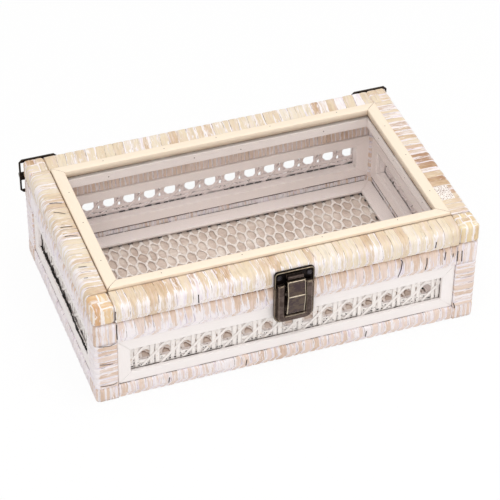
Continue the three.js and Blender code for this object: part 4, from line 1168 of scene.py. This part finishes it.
def floor_crevices(side, lines, gap, rng):
    """Dark cells of painted shadow at the edge of the floor's cane, under the floor's strip, and lines of
    painted shade with waxy dirt along the foot of the inner board, the floor's strip and the bottom rail."""
    pitch = 8.3
    cane_edge = 27.4
    reach = side.span / 2 - cane_edge
    for k in range(int(-reach / pitch), int(reach / pitch) + 1):
        if rng.random() < 0.78:
            u, long, wide = k * pitch + rng.uniform(-0.6, 0.6), rng.uniform(2.6, 4.6), rng.uniform(0.8, 1.5)
            t = cane_edge + 0.1
            cell = [(u - long / 2, t, 5.95), (u, cane_edge, 6.0), (u + long / 2, t, 5.95)]
            gap.line(side, cell, INWARDS, UPRIGHT, wide)
    for run in (facing_out(15.05, 14.2), facing_up(14.35, 8.75)):
        lines.dashes(side, -reach - 8, reach + 8, run, 0.6, 0.85, 9, (0.8, 1.1))
    outer = side.span / 2 - POST - 0.5
    lines.dashes(side, -outer, outer, facing_out(1.75, 12.7), 0.35, 0.7, 12)


def add_slits(name, slivers, body, slot, rng):
    """Slits between the strips of peel on the front, and for the lid those on top of its left rail."""
    slits = Crevices(rng)
    for sliver in slivers:
        (u0, z0), (u1, z1) = sliver[0], sliver[-1]
        points = [(u, -0.12, z) for u, z in sliver]
        across, thick = (ALONG, 0.75) if abs(z1 - z0) > abs(u1 - u0) else (UPRIGHT, 0.5)
        slits.line(FRONT, points, across, OUTWARDS, thick)
    for sliver in TOP_SLIVERS if body == "lid" else ():
        slits.line(LEFT, [(u, t, 89.98) for t, u in sliver], ALONG, UPRIGHT, 0.6)
    slits.finish(name, slit, in_metres, body, slot)


def add_bead_lines(rng):
    """The seams along both edges of the beads, and the mitres between them."""
    seams = Crevices(rng)
    for side in SIDES:
        start, end = side.opening(0.6)
        outer, inner = side.rail + 0.15, side.rail + BEAD_GAP + side.bead + 0.12
        fill, thick = {LEFT: (1.0, 0.7), RIGHT: (0.8, 0.45)}.get(side, (0.8, 0.35))
        seams.dashes(side, start, end, facing_up(outer, 89.5), thick, fill, 14, (0.8, 1.05))
        start, end = start + side.before.bead, end - side.after.bead
        seams.dashes(side, start, end, facing_up(inner, 86.3, 0.5), 0.4, 0.95, 14, (0.8, 1.05))
    seams.finish("bead_seams", seam, in_metres, "lid", "bead_wood")
    joints = Crevices(rng)
    for side in SIDES:
        start, _ = side.opening(0.5)
        section = [q for q in bead_section(side.bead, 92.16) if q[2] > 89.8]
        path = [(start + f * side.before.bead, t + side.rail + BEAD_GAP, z) for f, t, z in section]
        joints.line(side, path, (0.7, -0.7, 0), UPRIGHT, {FRONT: 0.75, LEFT: 0.5}.get(side, 0.35))
    joints.finish("bead_joints", seam, in_metres, "lid", "bead_wood")


def add_crevices(rng):
    """Painted shade with old waxy dirt in the corners where the pieces meet, darker painted shadow in the
    deeper gaps, and slits between strips of peel.
    """
    lines, gap = Crevices(rng), Crevices(rng)
    for side in SIDES:
        window_crevices(side, lines, gap)
        floor_crevices(side, lines, gap, rng)
    for path, thick in RIGHT_GAPS:
        gap.line(RIGHT, [(u, 6.9, z) for u, z in path], ALONG, OUTWARDS, thick)
    lines.finish("dark_crevices", crevice_shade_and_wax, in_metres, "base", "moulding_wood")
    gap.finish("painted_shadow_gaps", black, in_metres, "base", "moulding_wood")
    add_slits("base_slits", BASE_SLIVERS, "base", "base_peel", rng)
    add_slits("lid_slits", LID_SLIVERS, "lid", "lid_peel", rng)
    add_bead_lines(rng)


# Metalwork


def eased_copy(node, body, material, ease, worn_and_highlit, limit=28):
    """A copy of a CAD node with its sharp edges eased. The eased edges take the material worn_and_highlit, a
    brighter one for wear and painted highlight.
    """
    mesh = bmesh.new()
    mesh.from_mesh(NODES[node].data)
    bmesh.ops.remove_doubles(mesh, verts=mesh.verts, dist=0.00002)
    bmesh.ops.dissolve_limit(mesh, angle_limit=math.radians(1), verts=mesh.verts, edges=mesh.edges)
    data = bpy.data.meshes.new(f"bronze_{node}")
    mesh.to_mesh(data)
    mesh.free()
    data.materials.append(material)
    data.materials.append(worn_and_highlit)
    obj = add_object(f"bronze_{node}", data)
    bevel = obj.modifiers.new("ease", "BEVEL")
    bevel.width = ease * MM
    bevel.segments = 2
    bevel.limit_method = "ANGLE"
    bevel.angle_limit = math.radians(limit)
    bevel.material = 1
    return seat(obj, body, "bronze", node)


def wear_and_highlight_lines(name, paths, body, material):
    """Edges of the latch worn bright, and painted highlights: narrow facets along paths of (x, z, distance in
    front, width).
    """
    points, faces = [], []
    front = CENTRE_Y - DEPTH / 2
    for path in paths:
        path = np.array(path)
        steps = []
        for start, end in zip(path, path[1:]):
            count = max(2, int(math.dist(start[:2], end[:2]) / 0.6))
            steps += [start + (end - start) * i / count for i in range(count)]
        steps.append(path[-1])
        base = len(points)
        for i, (x, z, proud, width) in enumerate(steps):
            x0, z0 = steps[max(i - 1, 0)][:2]
            x1, z1 = steps[min(i + 1, len(steps) - 1)][:2]
            side = np.array(((z1 - z0), 0, (x0 - x1))) / math.hypot(x1 - x0, z1 - z0) * width / 2
            centre = np.array((x, front - proud, z))
            points += [centre - side, centre + side]
            if i:
                last = base + 2 * i
                faces.append((last - 2, last - 1, last + 1, last))
    piece = add_mesh(name, np.array(points) * MM, faces, material, closed=False)
    thick = piece.modifiers.new("thick", "SOLIDIFY")
    thick.thickness = 0.05 * MM
    thick.offset = 0
    seat(piece, body, "bronze")


def arc_points(x, z, radius, start, stop, proud, width, count=5):
    turns = [math.radians(start + (stop - start) * i / count) for i in range(count + 1)]
    return [(x + radius * math.cos(a), z + radius * math.sin(a), proud, width) for a in turns]


def latch_wear_and_highlights():
    """The bright lines of the lever, the plates' rims, the slot's lower edge and the horns: wear and painted
    highlights.
    """
    x, half, crest, ridge, foot = LATCH_X, 6.75, 81.15, 68.1, 50.6
    near, far, worn = 8.57, 6.26, 6.78
    lever = [
        [(x - half, ridge, near, 1.0), (x, ridge, near, 1.1), (x + half, ridge, near, 0.9)],
        [
            (x - half + 0.1, foot, far, 0.9), (x - half + 0.1, ridge, near, 0.6),
            (x - half, crest - 1, 6.9, 0.5), (x - half + 1, crest - 0.2, worn, 0.8),
            (x, crest - 0.3, worn, 0.9),
            (x + half - 1, crest - 0.2, worn, 0.8), (x + half, crest - 1, 6.9, 0.5),
            (x + half, ridge, near, 0.5), (x + half, foot, far, 0.6),
        ],
    ]
    wear_and_highlight_lines("lever_wear_and_highlights", lever, "lever", lever_edge)
    left, right, low, high, top = x - 15.05, x + 15.05, 40.9, 73.9, 87.9
    rim, small, large, seam_low = 2.45, 2.4, 6.3, 72.8
    catch = [(left, high, rim, 0.7)]
    catch += arc_points(left + small, top - small, small, 180, 90, rim, 0.8)
    catch += arc_points(right - small, top - small, small, 90, 0, rim, 0.7)
    catch.append((right, high, rim, 0.3))
    wear_and_highlight_lines("catch_wear_and_highlights", [catch], "lid", rim_edge)
    plate = [(right, seam_low, rim, 0.3)]
    plate += arc_points(right - large, low + large, large, 0, -90, rim, 0.3)
    plate += arc_points(left + large, low + large, large, 270, 180, rim, 0.5)
    plate.append((left, seam_low, rim, 0.6))
    slot = [(x - 7.8, 47.6, 5.46, 0.8), (x, 47.5, 5.46, 0.8), (x + 8.0, 47.6, 5.46, 0.6)]
    left_horn = [(x - 12.6, 76.4, 5.2, 0.5), (x - 11.2, 76.9, 5.2, 0.8), (x - 9.2, 77.0, 5.2, 0.5)]
    right_horn = [(x + 9.4, 77.0, 5.2, 0.4), (x + 12.4, 76.9, 5.2, 0.5)]
    wear_and_highlight_lines("base_plate_wear_and_highlights", [plate, slot, left_horn, right_horn], "base", rim_edge)


def lathe(name, profile, centre, axis, material, sides=20):
    """A turned piece: profile of (radius, height) along an axis, in millimetres."""
    turn = Vector(UPRIGHT).rotation_difference(Vector(axis).normalized()).to_matrix()
    verts = []
    for r, h in profile:
        for k in range(sides):
            a = 2 * math.pi * k / sides
            verts.append((Vector(centre) + turn @ Vector((r * math.cos(a), r * math.sin(a), h))) * MM)
    last = len(verts) - sides
    faces = tube_faces(len(profile), sides)
    faces += [tuple(reversed(range(sides))), tuple(range(last, last + sides))]
    return add_mesh(name, verts, faces, material)


def dress(node, material):
    """Gives a CAD node that shows as it is its material."""
    materials = NODES[node].data.materials
    materials.clear()
    materials.append(material)


def build_metal():
    eased_copy("latch_lever", "lever", lever_bronze, 0.5, lever_edge, 12)
    eased_copy("latch_base_plate", "base", bronze, 0.3, brass_edge)
    catch = eased_copy("latch_catch_plate", "lid", dark_bronze, 0.3, hinge_bronze)
    for body in ("lid", "base"):
        for end in ("left", "right"):
            eased_copy(f"hinge_{end}_{body}_leaf", body, hinge_bronze, 0.15, bronze)
    catch.data.materials.append(bronze)
    front = (CENTRE_Y - DEPTH / 2 - 2.6) * MM
    for face in catch.data.polygons:
        if face.center.y < front and abs(face.center.x / MM - LATCH_X) < 7:
            face.material_index = 2
    latch_wear_and_highlights()
    for node in ("latch_pin", "latch_spring", "hinge_left_pin", "hinge_right_pin"):
        dress(node, steel)
    profile = [(1.1, 10.7), (1.1, 0.9), (2.1, 0.88), (2.1, 0.45), (1.7, 0.12), (0.9, 0.0), (0.2, 0.0)]
    for end in ("left", "right"):
        node = f"catch_screw_{end}"
        low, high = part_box(node)
        centre = ((low.x + high.x) / 2 / MM, low.y / MM, (low.z + high.z) / 2 / MM)
        screw = lathe(f"bronze_{node}", profile, centre, INWARDS, screw_bronze)
        seat(screw, "lid", "bronze", node)


def add_nails(rng):
    """Small flat nail heads, sunk in the beads and mouldings."""
    places = []
    for side, fractions, t in (
        (FRONT, (0.12, 0.36, 0.62, 0.87), 4.2), (BACK, (0.1, 0.33, 0.5, 0.68, 0.9), 4.0),
        (LEFT, (0.18, 0.5, 0.83), 4.5), (RIGHT, (0.15, 0.5, 0.8), 4.4),
    ):
        for f in fractions:
            u = (f - 0.5) * (side.span - 60) + rng.uniform(-4, 4)
            t_here = side.rail + BEAD_GAP + t + rng.uniform(-0.6, 0.6)
            places.append((side, (u, t_here, 92.2), UPRIGHT, 0.5))
    for side in (BACK, LEFT, RIGHT):
        for f in (0.15, 0.42, 0.6, 0.86):
            u = (f - 0.5) * (side.span - 60) + rng.uniform(-5, 5)
            place = (u, side.rail + BEAD_GAP + side.bead, 79.5 + rng.uniform(-1, 1))
            places.append((side, place, INWARDS, 0.55))
    for i, (side, place, axis, radius) in enumerate(places):
        centre, tip = side.placed([place, np.add(place, axis)]) / MM
        profile = [(radius * 0.8, -0.4), (radius, -0.05), (radius * 0.8, 0.04), (radius * 0.2, 0.06)]
        nail = lathe(f"nail_{i:02d}", profile, centre, tip - centre, nail_metal, 10)
        seat(nail, "lid", "bronze")


# Stage, light and camera


def build_stage():
    g = Graph("white_floor")
    matt = g.node("BsdfDiffuse", {"Color": (0.9, 0.9, 0.9, 1)})
    white = g.node("Emission", {"Color": (1, 1, 1, 1), "Strength": 1.0})
    seen = g.node("LightPath", output="Is Camera Ray")
    seen = g.math("MAXIMUM", seen, g.node("LightPath", output="Is Glossy Ray"))
    paint = g.finish(g.blend(seen * 0.92, matt, white))
    size, level = 4.0, -0.0005
    corners = [(-size, -size, level), (size, -size, level), (size, size, level), (-size, size, level)]
    add_mesh("floor", corners, [(0, 1, 2, 3)], paint, smooth=False, closed=False)


def build_world():
    g = Graph("studio", world=True)
    lit = g.node("Background", {"Color": (1.0, 0.99, 0.98, 1), "Strength": 0.64})
    white = g.node("Background", {"Strength": 1.0})
    seen = g.node("LightPath", output="Is Camera Ray")
    for kind in ("Is Glossy Ray", "Is Transmission Ray"):
        seen = g.math("MAXIMUM", seen, g.node("LightPath", output=kind))
    bpy.context.scene.world = g.finish(g.blend(seen, lit, white))


def add_light(name, place, size, power, colour=(1, 1, 1)):
    """A square soft light aimed at the box."""
    data = bpy.data.lights.new(name, "AREA")
    data.size = size
    data.energy = power
    data.color = colour
    light = add_object(name, data)
    light.location = place
    aim = Vector((0, 0, 0.05)) - Vector(place)
    light.rotation_euler = aim.to_track_quat("-Z", "Y").to_euler()


def build_camera():
    azimuth, elevation, roll = math.radians(-20.31), math.radians(39.4), math.radians(0.72)
    level = math.cos(elevation)
    back = Vector((math.sin(azimuth) * level, -math.cos(azimuth) * level, math.sin(elevation)))
    right = Vector((0, 0, 1)).cross(back).normalized()
    up = back.cross(right)
    c, s = math.cos(roll), math.sin(roll)
    right, up = c * right + s * up, -s * right + c * up
    data = bpy.data.cameras.new("camera")
    data.sensor_width = 36
    data.lens = 154.98
    data.clip_start = 0.05
    data.clip_end = 20
    camera = add_object("camera", data)
    turn = Matrix((right, up, back)).transposed().to_4x4()
    camera.matrix_world = Matrix.Translation((-0.44868, -1.21879 + CENTRE_Y * MM, 1.0988)) @ turn
    bpy.context.scene.camera = camera


# The whole box

rng = random.Random(11)
wrap_rails(rng)
wrap_lid(rng)
weave_corners(rng)
wrap_posts(rng)
build_mouldings()
build_lid_strips()
build_floor_strips()
for side in SIDES:
    weave_window(side, rng)
weave_floor(rng)
add_crevices(random.Random(5))
build_metal()
add_nails(rng)
dress("floor_board", board)
dress("lid_glass", glass)

build_stage()
build_world()
add_light("key", (-0.7, -1.0, 1.3), 0.9, 6.5, (1.0, 0.985, 0.97))
add_light("fill", (0.9, -0.8, 0.7), 1.0, 3.0)
add_light("top", (0.1, 0.0, 1.5), 1.0, 7.4)
build_camera()
bpy.context.scene.view_settings.view_transform = "Standard"
